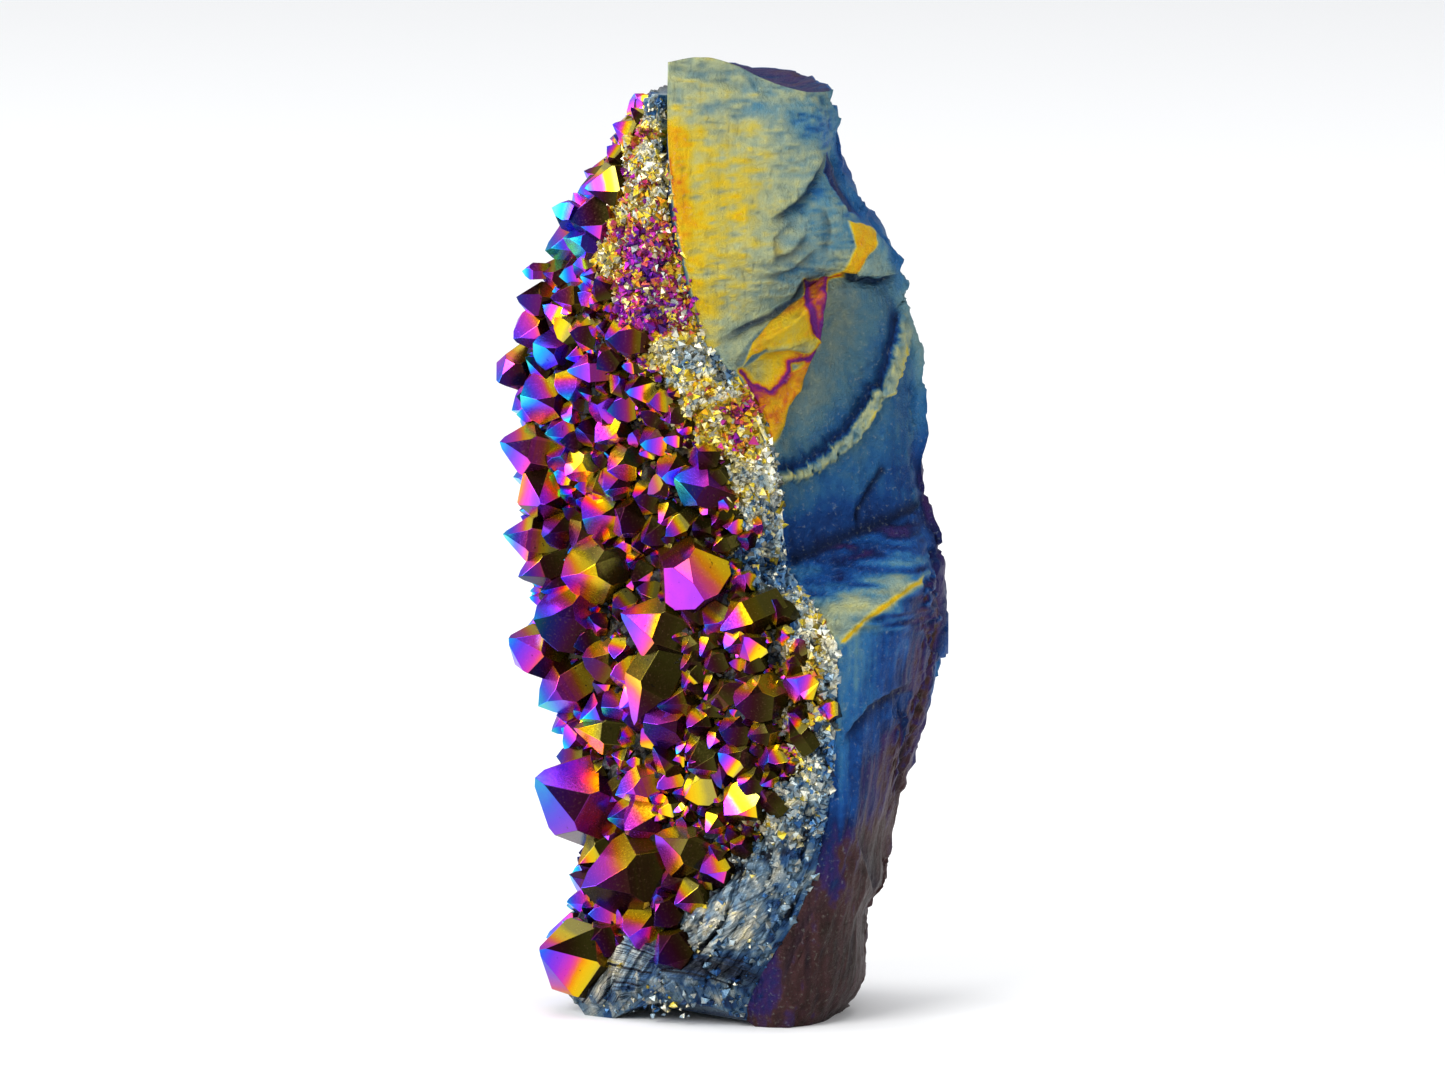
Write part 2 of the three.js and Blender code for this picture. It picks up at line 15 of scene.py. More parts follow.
import bpy
import numpy as np
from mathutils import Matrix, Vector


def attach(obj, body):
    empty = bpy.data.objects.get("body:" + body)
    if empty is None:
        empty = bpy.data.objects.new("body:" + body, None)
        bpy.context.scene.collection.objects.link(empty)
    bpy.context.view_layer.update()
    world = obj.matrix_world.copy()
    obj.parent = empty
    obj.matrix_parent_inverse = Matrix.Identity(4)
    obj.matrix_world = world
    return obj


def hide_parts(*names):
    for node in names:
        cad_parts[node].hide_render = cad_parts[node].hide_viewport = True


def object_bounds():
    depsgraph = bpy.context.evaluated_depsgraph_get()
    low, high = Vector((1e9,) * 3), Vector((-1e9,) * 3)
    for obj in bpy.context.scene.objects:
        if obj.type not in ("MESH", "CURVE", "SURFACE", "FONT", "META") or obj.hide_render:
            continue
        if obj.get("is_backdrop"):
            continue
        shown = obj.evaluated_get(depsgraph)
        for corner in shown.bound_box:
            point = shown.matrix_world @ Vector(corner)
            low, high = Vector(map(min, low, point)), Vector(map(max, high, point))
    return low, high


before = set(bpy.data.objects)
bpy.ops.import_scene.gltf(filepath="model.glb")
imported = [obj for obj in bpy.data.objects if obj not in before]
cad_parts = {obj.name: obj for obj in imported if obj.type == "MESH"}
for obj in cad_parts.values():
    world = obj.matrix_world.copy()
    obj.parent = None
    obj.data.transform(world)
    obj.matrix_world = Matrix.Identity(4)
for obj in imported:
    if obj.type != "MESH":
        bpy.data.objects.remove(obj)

LOG = logging.getLogger("druse")
Array = np.ndarray
Colour = tuple[float, float, float]
Stops = Sequence[tuple[float, str]]
Line = Sequence[tuple[float, float]]
Spacing = float | Sequence[float] | Array

MM = 0.001
# Whole numbers that mix the bits of a lattice's cells.
HASH_PRIMES = (73856093, 19349663, 83492791)
HASH_SEED, HASH_MIX, WORD = 2654435761, 0x45D9F3B, 0xFFFFFFFF
DRAW_STEP, DRAW_RANGE = 16807, 2147483647  # of the generator that places the strewn points
STREWN_SEED, DRUSE_SEED, FACE_SEED = 20771, 4117, 90210
COS_30 = math.cos(math.radians(30))  # a hexagon's apothem over its radius
BODY = "root"
VIEW_WIDTH = 245.65  # what the view's width spans at the cluster
EYE_DISTANCE = 3000.0
CENTRE_Y = 2.4  # moves the cluster so that the middle of its box is over the origin
AIM = (0.0, -5.0 + CENTRE_Y, 80.6)
# The corners of a box just inside the CAD model's.
LOW, HIGH = np.array([-38.5, -27.7, 0.0]), np.array([38.5, 27.6, 164.95])


class Slot(Enum):
    """The record's material slots."""

    ROCK = "coated_rock"
    QUARTZ = "coated_quartz"


# ---- numbers on a lattice ----


def hashed(cells: Array, seed: int) -> Array:
    """Mixes the bits of whole numbers into one repeatable value from 0 to 1.

    Args:
        cells: Whole numbers, with three in the last axis.
        seed: Chooses another set of values.

    Returns:
        One value for each cell.
    """
    whole = cells.astype(np.int64)
    x, y, z = (whole[..., i] * prime for i, prime in enumerate(HASH_PRIMES))
    mixed = (x ^ y ^ z ^ (seed * HASH_SEED)) & WORD
    for _ in range(2):
        mixed = ((mixed ^ (mixed >> 16)) * HASH_MIX) & WORD
    return (mixed ^ (mixed >> 16)) / WORD


def noise(places: Array, size: Spacing, seed: int) -> Array:
    """Smooth noise from -1 to 1: hashed lattice values, blended by 3t^2 - 2t^3 along each axis.

    Args:
        places: Points in millimetres.
        size: The lattice's spacing, one number or one for each axis.
        seed: Chooses another pattern.

    Returns:
        One value for each point.
    """
    scaled = places / size
    cell = np.floor(scaled)
    part = scaled - cell
    ease = part * part * (3 - 2 * part)
    total = np.zeros(places.shape[:-1])
    for corner in np.ndindex(2, 2, 2):
        step = np.array(corner)
        weight = np.prod(np.where(step == 1, ease, 1 - ease), axis=-1)
        total += weight * hashed(cell + step, seed)
    return 2 * total - 1


def layered(places: Array, size: Spacing, octaves: int, seed: int) -> Array:
    """Sums octaves of noise, each at half the size and half the height of the one before."""
    heights = [0.5**i * noise(places, np.asarray(size) * 0.5**i, seed + i) for i in range(octaves)]
    return sum(heights) / (2 - 0.5 ** (octaves - 1))


def chipped(places: Array, size: float, seed: int) -> Array:
    """Flat chips: each point takes the tilted plane of its nearest jittered lattice site.

    Args:
        places: Points in millimetres.
        size: Spacing of the sites.
        seed: Chooses another pattern.

    Returns:
        A height of about -1 to 1 for each point, broken into flat facets.
    """
    scaled = places / size
    cell = np.floor(scaled)
    nearest = np.full(places.shape[:-1], np.inf)
    height = np.zeros(places.shape[:-1])
    for step in np.ndindex(3, 3, 3):
        at = cell + np.array(step) - 1
        jitter = np.stack([hashed(at, seed + i) for i in range(3)], axis=-1)
        tilt = np.stack([hashed(at, seed + 3 + i) for i in range(3)], axis=-1) - 0.5
        away = scaled - at - jitter
        distance = np.sum(away * away, axis=-1)
        plane = 2.2 * np.sum(away * tilt, axis=-1) + (hashed(at, seed + 6) - 0.5)
        closer = distance < nearest
        nearest = np.where(closer, distance, nearest)
        height = np.where(closer, plane, height)
    return height


def step_up(value: Array, low: float, high: float) -> Array:
    """Rises smoothly from 0 at `low` to 1 at `high`, as 3t^2 - 2t^3."""
    part = np.clip((value - low) / (high - low), 0, 1)
    return part * part * (3 - 2 * part)


def hump(value: Array, width: float | Array) -> Array:
    """A bell: 1 at zero, falling as the exponential of minus the square of value over width."""
    return np.exp(-((value / width) ** 2))


def unit(vectors: Array) -> Array:
    """Vectors of length 1 along the given ones."""
    return vectors / np.maximum(np.linalg.norm(vectors, axis=-1, keepdims=True), 1e-9)


def smooth_curve(knots: Array, steps: int) -> Array:
    """Cubic curve through knots: the slope at each is half the way between its neighbours.

    Args:
        knots: Points along the first axis; any further axes are curves side by side.
        steps: Samples to each interval.

    Returns:
        The samples, without the last knot.
    """
    ends = np.concatenate([2 * knots[:1] - knots[1:2], knots, 2 * knots[-1:] - knots[-2:-1]])
    slope = (ends[2:] - ends[:-2]) / 2
    t = (np.arange(steps) / steps).reshape([1, steps] + [1] * (knots.ndim - 1))
    pairs = (knots[:-1], knots[1:], slope[:-1], slope[1:])
    start, stop, leave, arrive = (values[:, None] for values in pairs)
    cubic = (2 * t**3 - 3 * t**2 + 1) * start + (t**3 - 2 * t**2 + t) * leave
    cubic = cubic + (3 * t**2 - 2 * t**3) * stop + (t**3 - t**2) * arrive
    return cubic.reshape([-1, *knots.shape[1:]])


def rails_at(rails: Sequence[Sequence[Sequence[float]]], z: Array) -> Array:
    """Where hidden rails pass given heights: straight between their knots.

    Args:
        rails: The knots of each, as (z, x, y).
        z: A height for each rail.

    Returns:
        The places.
    """
    found = []
    for rail, height in zip(rails, z):
        knots = np.array(rail)
        x, y = (np.interp(height, knots[:, 0], knots[:, i]) for i in (1, 2))
        found.append([x, y, height])
    return np.array(found)


def line_distance(x: Array, v: Array, line: Line) -> tuple[Array, Array]:
    """Distance from places of the front view to a bent line.

    Args:
        x: Places across.
        v: Places up.
        line: The line's points, as (x, v).

    Returns:
        The distance, negative to the left of the line's way, and the share along the line.
    """
    best = np.full(x.shape, np.inf)
    signed, along = np.zeros(x.shape), np.zeros(x.shape)
    for i, ((ax, av), (bx, bv)) in enumerate(zip(line, line[1:])):
        dx, dv = bx - ax, bv - av
        part = np.clip(((x - ax) * dx + (v - av) * dv) / (dx * dx + dv * dv), 0, 1)
        away = np.hypot(x - ax - part * dx, v - av - part * dv)
        side = np.sign((v - av) * dx - (x - ax) * dv)
        closer = away < best
        best = np.where(closer, away, best)
        signed = np.where(closer, -side * away, signed)
        along = np.where(closer, (i + part) / (len(line) - 1), along)
    return signed, along


def depth_inside(x: Array, v: Array, outline: Line) -> Array:
    """Distance from places of the front view to an outline, positive inside it.

    Args:
        x: Places across.
        v: Places up.
        outline: The outline's corners, as (x, v).

    Returns:
        The distance in millimetres; a place is inside where a level ray crosses an odd number
        of sides.
    """
    away, _ = line_distance(x, v, (*outline, outline[0]))
    crossings = np.zeros(x.shape, dtype=int)
    for (ax, av), (bx, bv) in zip(outline, (*outline[1:], outline[0])):
        if av != bv:
            crossings += ((av > v) != (bv > v)) & (x < ax + (v - av) * (bx - ax) / (bv - av))
    return np.where(crossings % 2 == 1, 1, -1) * np.abs(away)


# ---- the front view ----


@dataclass(frozen=True)
class FrontView:
    """The view from the front that places are given in: x across, v up, looking down by `tip`."""

    tip: float = math.radians(8.0)
    front: float = -24.0  # depth at which the view's zero height is the foot

    @property
    def sin(self) -> float:
        """Sine of the tip."""
        return math.sin(self.tip)

    @property
    def cos(self) -> float:
        """Cosine of the tip."""
        return math.cos(self.tip)

    def seen(self, x: Array, y: Array, v: Array) -> Array:
        """The point at depth y that the view shows at (x, v)."""
        x, y, v = np.broadcast_arrays(x, y, v)
        return np.stack([x, y, (v - (y - self.front) * self.sin) / self.cos], axis=-1).astype(float)

    def up_of(self, points: Array) -> Array:
        """How high the view shows points."""
        return points[..., 2] * self.cos + (points[..., 1] - self.front) * self.sin

    def turned(self, across: Array, up: Array, into: Array) -> Array:
        """A direction given across, up and into the view."""
        across, up, into = np.broadcast_arrays(across, up, into)
        return np.stack(
            [across, up * self.sin + into * self.cos, up * self.cos - into * self.sin], axis=-1
        ).astype(float)


VIEW = FrontView()


# ---- shader nodes ----


@dataclass(frozen=True)
class Sock:
    """A value in a material's node tree, which can be used in arithmetic."""

    nodes: Nodes
    socket: bpy.types.NodeSocket

    def _math(self, operation: str, first: Any, second: Any) -> Sock:
        """Adds one Math node on two values."""
        return self.nodes.add("ShaderNodeMath", {"operation": operation}, {0: first, 1: second})

    def __add__(self, other: Any) -> Sock:
        """self + other."""
        return self._math("ADD", self, other)

    def __sub__(self, other: Any) -> Sock:
        """self - other."""
        return self._math("SUBTRACT", self, other)

    def __rsub__(self, other: Any) -> Sock:
        """other - self."""
        return self._math("SUBTRACT", other, self)

    def __mul__(self, other: Any) -> Sock:
        """self * other."""
        return self._math("MULTIPLY", self, other)


class Nodes:
    """Builds one material's node tree."""

    def __init__(self, name: str) -> None:
        """Starts a material with a Principled shader.

        Args:
            name: The material's name.
        """
        self.material = bpy.data.materials.new(name)
        self.material.use_nodes = True
        self.tree = self.material.node_tree
        self.shader = self.tree.nodes["Principled BSDF"]

    def add(
        self, kind: str, settings: dict[str, Any], sockets: dict[Any, Any], out: Any = 0
    ) -> Sock:
        """Adds a node.

        Args:
            kind: The node's type.
            settings: Its properties, set first; "stops" are a colour ramp's.
            sockets: A value or a Sock for each named or numbered input.
            out: The output that is wanted.

        Returns:
            That output.
        """
        node = self.tree.nodes.new(kind)
        for key, value in settings.items():
            if key == "stops":
                self._set_stops(node.color_ramp, value)
            else:
                setattr(node, key, value)
        for key, value in sockets.items():
            self._feed(node.inputs[key], value)
        return Sock(self, node.outputs[out])

    def _feed(self, target: bpy.types.NodeSocket, value: Any) -> None:
        """Links a Sock to an input, or sets the input's own value.

        Args:
            target: The input.
            value: A Sock, a colour or a number.
        """
        if isinstance(value, Sock):
            self.tree.links.new(value.socket, target)
        elif isinstance(value, tuple) and target.type == "RGBA":
            target.default_value = (*value, 1)
        else:
            target.default_value = value

    @staticmethod
    def _set_stops(ramp: bpy.types.ColorRamp, stops: Stops) -> None:
        """Gives a colour ramp its stops.

        Args:
            ramp: The ramp.
            stops: Positions from 0 to 1, each with its display colour's digits.
        """
        while len(ramp.elements) < len(stops):
            ramp.elements.new(1)
        for element, (at, colour) in zip(ramp.elements, stops):
            element.position = at
            element.color = (*linear(colour), 1)

    def attribute(self, name: str) -> Sock:
        """The number that the mesh holds under a name."""
        return self.add("ShaderNodeAttribute", {"attribute_name": name}, {}, "Fac")

    def place(self) -> Sock:
        """The point's place in the object's own frame."""
        return self.add("ShaderNodeTexCoord", {}, {}, "Object")

    def grain(self, scale: float, detail: float, vector: Sock, roughness: float = 0.55) -> Sock:
        """Noise from 0 to 1 of so many waves a metre."""
        sockets = {"Vector": vector, "Scale": scale, "Detail": detail, "Roughness": roughness}
        return self.add("ShaderNodeTexNoise", {}, sockets, "Fac")

    def ramp(self, at: Sock, stops: Stops) -> Sock:
        """The colour of a ramp."""
        return self.add("ShaderNodeValToRGB", {"stops": stops}, {"Fac": at}, "Color")

    def mix(self, share: Any, first: Any, second: Any) -> Sock:
        """Mixes two colours."""
        return self.add("ShaderNodeMix", {"data_type": "RGBA"}, {0: share, 6: first, 7: second}, 2)

    def spread(self, value: Sock, low: float, high: float, to_low: float, to_high: float) -> Sock:
        """Carries one range of a value over to another, held at its ends."""
        sockets = {"Value": value, 1: low, 2: high, 3: to_low, 4: to_high}
        return self.add("ShaderNodeMapRange", {"clamp": True}, sockets, 0)

    def bump(self, height: Sock, distance: float, strength: float) -> Sock:
        """A normal from a height in metres."""
        sockets = {"Height": height, "Distance": distance, "Strength": strength}
        return self.add("ShaderNodeBump", {}, sockets, "Normal")

    def dress(self, sockets: dict[str, Any]) -> bpy.types.Material:
        """Feeds the shader.

        Args:
            sockets: A value or a Sock for each named input.

        Returns:
            The material.
        """
        for key, value in sockets.items():
            self._feed(self.shader.inputs[key], value)
        return self.material


def linear(code: str) -> Colour:
    """The linear values that nodes hold, for a display colour's six hexadecimal digits."""
    parts = (int(code[i : i + 2], 16) / 255 for i in (0, 2, 4))
    return tuple(c / 12.92 if c <= 0.04045 else ((c + 0.055) / 1.055) ** 2.4 for c in parts)


# ---- finishes ----

# A thin coating's colours as it gets thicker, in painted light where the face is lit and in painted
# shade where it is dark.
BRIGHT_FILM = (
    (0, "b4a64a"), (0.08, "ecd020"), (0.18, "fcc612"), (0.25, "ff9418"),
    (0.30, "fa5e70"), (0.37, "de3cba"), (0.50, "a038e2"), (0.62, "6a40f2"),
    (0.72, "3862f4"), (0.83, "12a0ee"), (1, "3cd2d2"),
)
DARK_FILM = (
    (0, "36320e"), (0.13, "2f2709"), (0.25, "2a180a"), (0.36, "2c0b13"),
    (0.50, "31072a"), (0.66, "230948"), (0.84, "091a50"), (1, "0d3940"),
)
ROCK_FILM = (
    (0, "281b18"), (0.09, "3e2728"), (0.16, "2e1e50"), (0.22, "0a1f4e"),
    (0.31, "10407e"), (0.39, "285f8e"), (0.47, "507988"), (0.55, "75897f"),
    (0.64, "9aa078"), (0.72, "b4a546"), (0.79, "c6a618"), (0.86, "cb930c"),
    (0.92, "b45a18"), (0.96, "94285a"), (1, "641c72"),
)
SPARK_FILM = (
    (0, "050a14"), (0.1, "0f2f62"), (0.22, "2c649e"), (0.34, "7d9fb6"),
    (0.44, "c4d0ce"), (0.54, "fff8da"), (0.64, "f2da3e"), (0.72, "eec61a"),
    (0.79, "dc7c18"), (0.85, "d63e76"), (0.92, "c424b8"), (1, "5e1e9c"),
)


@dataclass(frozen=True)
class CoatedFaces:
    """The mirror-like coating on crystal faces; `film` and `lit` are held by the mesh."""

    name: str = "coated crystal faces"
    metal: float = 0.86
    veil: float = 0.15  # how much white the uncoated share mirrors
    polish: float = 0.15
    stripe_waves: float = 900.0
    pit_waves: float = 1300.0

    def material(self) -> bpy.types.Material:
        """Builds the material.

        Returns:
            A coating whose colour follows its thickness, with painted light and shade from `lit`,
            growth lines, pits and dust.
        """
        nodes = Nodes(self.name)
        place = nodes.place()
        drift = nodes.grain(220, 3, place) - 0.5
        speck = nodes.grain(2600, 2, place)
        film = nodes.attribute("film") + drift * 0.1
        lit = nodes.attribute("lit")
        face = nodes.add("ShaderNodeUVMap", {"uv_map": "Face"}, {}, "UV")
        squeeze = nodes.add("ShaderNodeMapping", {}, {"Vector": face, "Scale": (0.04, 1, 1)})
        stripes = nodes.grain(self.stripe_waves, 2, squeeze)
        grown = nodes.attribute("stripes")
        film = film + (stripes - 0.5) * (grown * 0.5)
        bright = nodes.ramp(film, BRIGHT_FILM)
        dust = nodes.spread(speck, 0.58, 0.74, 0, 0.4)
        # Painted light and shade: `lit` picks the bright ramp or the dark one, which also carries
        # dust.
        shaded_and_dusty = nodes.mix(dust, nodes.ramp(film, DARK_FILM), linear("59432f"))
        colour = nodes.mix(lit, shaded_and_dusty, bright)
        pits = nodes.spread(nodes.grain(self.pit_waves, 1, place), 0.73, 0.76, 0, 0.9)
        colour = nodes.mix(pits * nodes.attribute("pitted"), colour, (0.004, 0.003, 0.004))
        height = stripes * grown * 0.5 + nodes.grain(500, 2, place) * 0.3
        return nodes.dress({
            "Base Color": colour,
            "Metallic": self.metal,
            "Specular IOR Level": self.veil,
            "Roughness": nodes.spread(speck, 0.3, 0.8, self.polish, self.polish + 0.16),
            "Normal": nodes.bump(height, 0.00012, 0.5),
        })


@dataclass(frozen=True)
class CoatedRock:
    """The satin coating on the broken host rock; `film` and `shade` are held by the mesh."""

    name: str = "coated host rock"
    metal: float = 0.6
    veil: float = 0.15
    satin: float = 0.42

    def material(self) -> bpy.types.Material:
        """Builds the material.

        Returns:
            A satin coating whose colour drifts in washes, streaked and finely pitted, darkened by
            the painted shade that the mesh holds.
        """
        nodes = Nodes(self.name)
        place = nodes.place()
        tall = nodes.add("ShaderNodeMapping", {}, {"Vector": place, "Scale": (1, 1, 0.12)})
        cloud = nodes.grain(90, 5, place, 0.6) - 0.5
        streak = nodes.grain(700, 3, tall) - 0.5
        fine = nodes.grain(1500, 4, place, 0.65)
        film = nodes.attribute("film") + cloud * 0.12 + streak * 0.07 + (fine - 0.5) * 0.06
        colour = nodes.ramp(film, ROCK_FILM)
        # Painted shade: the mesh's `shade` pulls the coating towards deep navy in cracks, grooves,
        # hollows and the seam; on the scar it is the scar's own darker colour.
        wear_and_painted_shade = nodes.spread(nodes.attribute("shade"), 0, 1, 0, 1)
        colour = nodes.mix(wear_and_painted_shade, colour, linear("06132e"))
        frost = nodes.spread(fine, 0.58, 0.8, 0, 0.26)
        colour = nodes.mix(frost, colour, linear("b9bfb0"))
        height = fine * 0.8 + nodes.grain(4200, 2, place) * 0.3 + streak * 0.5
        return nodes.dress({
            "Base Color": colour,
            "Metallic": self.metal,
            "Specular IOR Level": self.veil,
            "Roughness": nodes.spread(fine, 0.3, 0.8, self.satin - 0.06, self.satin + 0.16),
            "Normal": nodes.bump(height, 0.0006, 0.9),
        })


@dataclass(frozen=True)
class CoatedGrains:
    """The coating on broken quartz; `film`, `shade`, `growth` and `zoned` are held by the mesh."""

    name: str = "coated broken grains"
    metal: float = 0.66
    veil: float = 0.3
    gloss: float = 0.2
    growth_waves: float = 1.7

    def material(self) -> bpy.types.Material:
        """Builds the material.

        Returns:
            A coating whose colour jumps from grain to grain, with growth lines where it is zoned,
            darkened by the painted shade that the mesh holds.
        """
        nodes = Nodes(self.name)
        place = nodes.place()
        fine = nodes.grain(1700, 4, place, 0.7)
        zoned = nodes.attribute("zoned")
        along = nodes.add("ShaderNodeCombineXYZ", {}, {"X": nodes.attribute("growth")}, "Vector")
        lines = nodes.grain(self.growth_waves, 4, along, 0.7)
        drift = (nodes.grain(600, 3, place) - 0.5) * 0.2
        film = nodes.attribute("film") + drift * (1 - zoned) + (lines - 0.5) * (zoned * 0.5)
        # The mesh's `shade` is painted shade under the points, in hollows and on faces by chance;
        # the growth lines add their own dark.
        dark = nodes.attribute("shade") + nodes.spread(lines, 0.5, 0.4, 0, 0.7) * zoned
        hidden = nodes.spread(dark, 0, 1, 0, 1)
        colour = nodes.mix(hidden, nodes.ramp(film, SPARK_FILM), (0.006, 0.008, 0.014))
        return nodes.dress({
            "Base Color": colour,
            "Metallic": self.metal,
            "Specular IOR Level": self.veil,
            "Roughness": nodes.spread(fine, 0.3, 0.7, self.gloss, self.gloss + 0.25),
            "Normal": nodes.bump(fine * (1 - zoned * 0.6) + lines * zoned, 0.0003, 0.6),
        })


# ---- meshes ----


@dataclass
class Surface:
    """A mesh in the making: places in millimetres, faces by their corner count, and its numbers."""

    name: str
    places: Array
    faces: list[Array]
    point_values: dict[str, Array] = field(default_factory=dict)
    corner_values: dict[str, Array] = field(default_factory=dict)
    face_map: Array | None = None
    smooth: bool = False

    def build(self, material: bpy.types.Material, slot: Slot) -> bpy.types.Object:
        """Makes the object, gives it its finish, and lets it ride on the cluster's body.

        Args:
            material: Its material.
            slot: The record's slot for its finish; not used.

        Returns:
            The object.
        """
        mesh = bpy.data.meshes.new(self.name)
        polygons = [row for group in self.faces for row in group.tolist()]
        placed = np.clip(self.places + np.array([0, CENTRE_Y, 0]), LOW, HIGH)
        mesh.from_pydata((placed * MM).tolist(), [], polygons)
        for domain, values in (("POINT", self.point_values), ("CORNER", self.corner_values)):
            for key, numbers in values.items():
                layer = mesh.attributes.new(key, "FLOAT", domain)
                flat = np.ascontiguousarray(numbers, dtype=np.float32).ravel()
                layer.data.foreach_set("value", flat)
        if self.face_map is not None:
            layer = mesh.uv_layers.new(name="Face")
            layer.data.foreach_set("uv", (self.face_map * MM).astype(np.float32).ravel())
        mesh.polygons.foreach_set("use_smooth", np.full(len(polygons), self.smooth))
        mesh.materials.append(material)
        mesh.update()
        made = bpy.data.objects.new(self.name, mesh)
        bpy.context.scene.collection.objects.link(made)
        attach(made, BODY)
        return made


def closed_grid(rows: Array) -> tuple[Array, list[Array]]:
    """Joins rows of a ring-shaped grid, the first and last row drawn together to a pole each.

    Args:
        rows: Places as (row, column, 3), columns anticlockwise from above, rows going up.

    Returns:
        The places, and the quads and the poles' triangles.
    """
    count, size = rows.shape[:2]
    places = np.concatenate([rows.reshape(-1, 3), rows[0].mean(0)[None], rows[-1].mean(0)[None]])
    index = np.arange(count * size).reshape(count, size)
    right = np.roll(index, -1, axis=1)
    quads = np.stack([index[:-1], right[:-1], right[1:], index[1:]], axis=-1).reshape(-1, 4)
    foot, crown = np.full(size, count * size), np.full(size, count * size + 1)
    below = np.stack([foot, right[0], index[0]], axis=-1)
    above = np.stack([crown, index[-1], right[-1]], axis=-1)
    return places, [quads, below, above]


def with_poles(values: Array) -> Array:
    """Values for the places of a closed grid: the rows', then the first and last row's means."""
    means = [values[row].mean(keepdims=True) for row in (0, -1)]
    return np.concatenate([values.ravel(), *means])


def grid_normals(rows: Array) -> Array:
    """Outward normals of a ring-shaped grid: the way along the row crossed with the way up."""
    across = np.roll(rows, -1, axis=1) - np.roll(rows, 1, axis=1)
    return unit(np.cross(across, np.gradient(rows, axis=0)))


# ---- the host rock's net ----

Rail = tuple[tuple[float, float, float], ...]


@dataclass(frozen=True)
class Level:
    """One level of the rock: front rails from the crust's border to the right edge.

    Each rail's point is (x, depth y, height in the front view). A sharp level is a crisp edge.
    """

    name: str
    sharp: bool
    front: Rail


LEVELS = (
    Level("foot", True, (
        (4, -22, 0), (8, -23.5, 0), (11, -23.5, 0), (14.5, -21, 0), (18, -15, 0), (20, -6, 0))),
    Level("heel", False, (
        (5, -23, 6.3), (9, -24.5, 6), (13, -25, 6), (17, -22.5, 6.5), (21, -17, 7),
        (24.2, -8, 8.5))),
    Level("ankle", False, (
        (12.3, -25, 18.2), (14.5, -26, 17), (17, -25.5, 17), (20, -22.5, 17.5), (23, -16, 18.5),
        (24.8, -6, 20))),
    Level("bump", False, (
        (15.7, -25.5, 26.5), (18, -25.5, 25.5), (20, -24, 25), (22.5, -21, 25), (25.5, -14, 25),
        (28.1, -5, 25))),
    Level("shin", False, (
        (17.9, -26, 35.2), (20.5, -25.5, 35), (22.5, -23, 35), (24.8, -18, 35), (27, -11, 35),
        (29.2, -2, 35))),
    Level("hip", False, (
        (19.1, -26.5, 50), (22, -25, 51), (25, -22.5, 52), (28.5, -18, 53), (32, -11, 54),
        (35.2, -2, 54))),
    Level("flank", False, (
        (19.6, -27, 61), (22.5, -25.5, 63), (26, -23.5, 65), (30, -20, 66.5), (34.5, -12, 68),
        (38.2, -1, 68.3))),
    Level("ledge edge", True, (
        (19.4, -27, 65.5), (23, -25.8, 68.5), (26.5, -24, 71.2), (30.2, -21.5, 73.8),
        (34.3, -17, 76.7), (36.6, -6, 78.5))),
    Level("crease", True, (
        (10.8, -12.5, 78.2), (16, -12, 80.4), (21, -11, 82.6), (26, -10, 84.7), (31, -8.5, 86.8),
        (34.2, -3, 89))),
    Level("low scar", False, (
        (9.2, -13.5, 93), (13.5, -11.3, 93.5), (18.5, -10, 95), (24, -9, 97), (29.5, -7.8, 99),
        (33.8, -2, 101))),
    Level("middle scar", False, (
        (7.3, -14.5, 104), (11.5, -12.2, 104.5), (17.5, -10, 105.5), (23, -8.8, 107),
        (28.8, -8, 109), (33.7, -2, 110))),
    Level("top of the scar", False, (
        (3, -16, 109.5), (8.5, -15, 110.5), (15.2, -12.5, 114), (19, -10.5, 118), (27, -9, 119),
        (32.3, -3, 119.5))),
    Level("gold ridge", True, (
        (0, -17.2, 113), (5, -18, 115.4), (12, -18.5, 119.5), (17.3, -16, 124.5),
        (24, -10.5, 125.5), (31, -4, 124.5))),
    Level("gold crease", True, (
        (-2.8, -16.8, 115.8), (4.5, -15, 119.9), (12.5, -13.5, 124.2), (18, -12, 127.4),
        (25, -9, 127.9), (30.6, -4, 128.2))),
    Level("shoulder", False, (
        (-5.5, -18.8, 127), (1, -18.3, 127.6), (8, -17.3, 129), (15.5, -15.5, 131.6),
        (23, -12.8, 134.2), (28.6, -6, 133))),
    Level("low groove", False, (
        (-7.6, -19.5, 136), (-1, -19, 137.5), (6, -18, 139), (12.4, -16, 140), (18.6, -14.2, 140.6),
        (22.4, -7, 140))),
    Level("top of the groove", False, (
        (-9.1, -19.5, 148.5), (-3, -19, 149), (4, -18, 149), (11.5, -17, 149.2),
        (17.3, -12.6, 149.2), (19, -6, 149.5))),
    Level("brow", False, (
        (-9.3, -19, 157), (-3, -18.6, 156.5), (4, -17.6, 155.5), (11, -16.4, 154.5),
        (16.6, -13.6, 154.5), (18.9, -6.5, 155))),
    Level("rim", True, (
        (-9.2, -18, 163.4), (-3.5, -17.5, 164.3), (2, -16.5, 163), (7.5, -15.5, 160.4),
        (14, -14.5, 158.5), (18.4, -8, 158.8))),
)
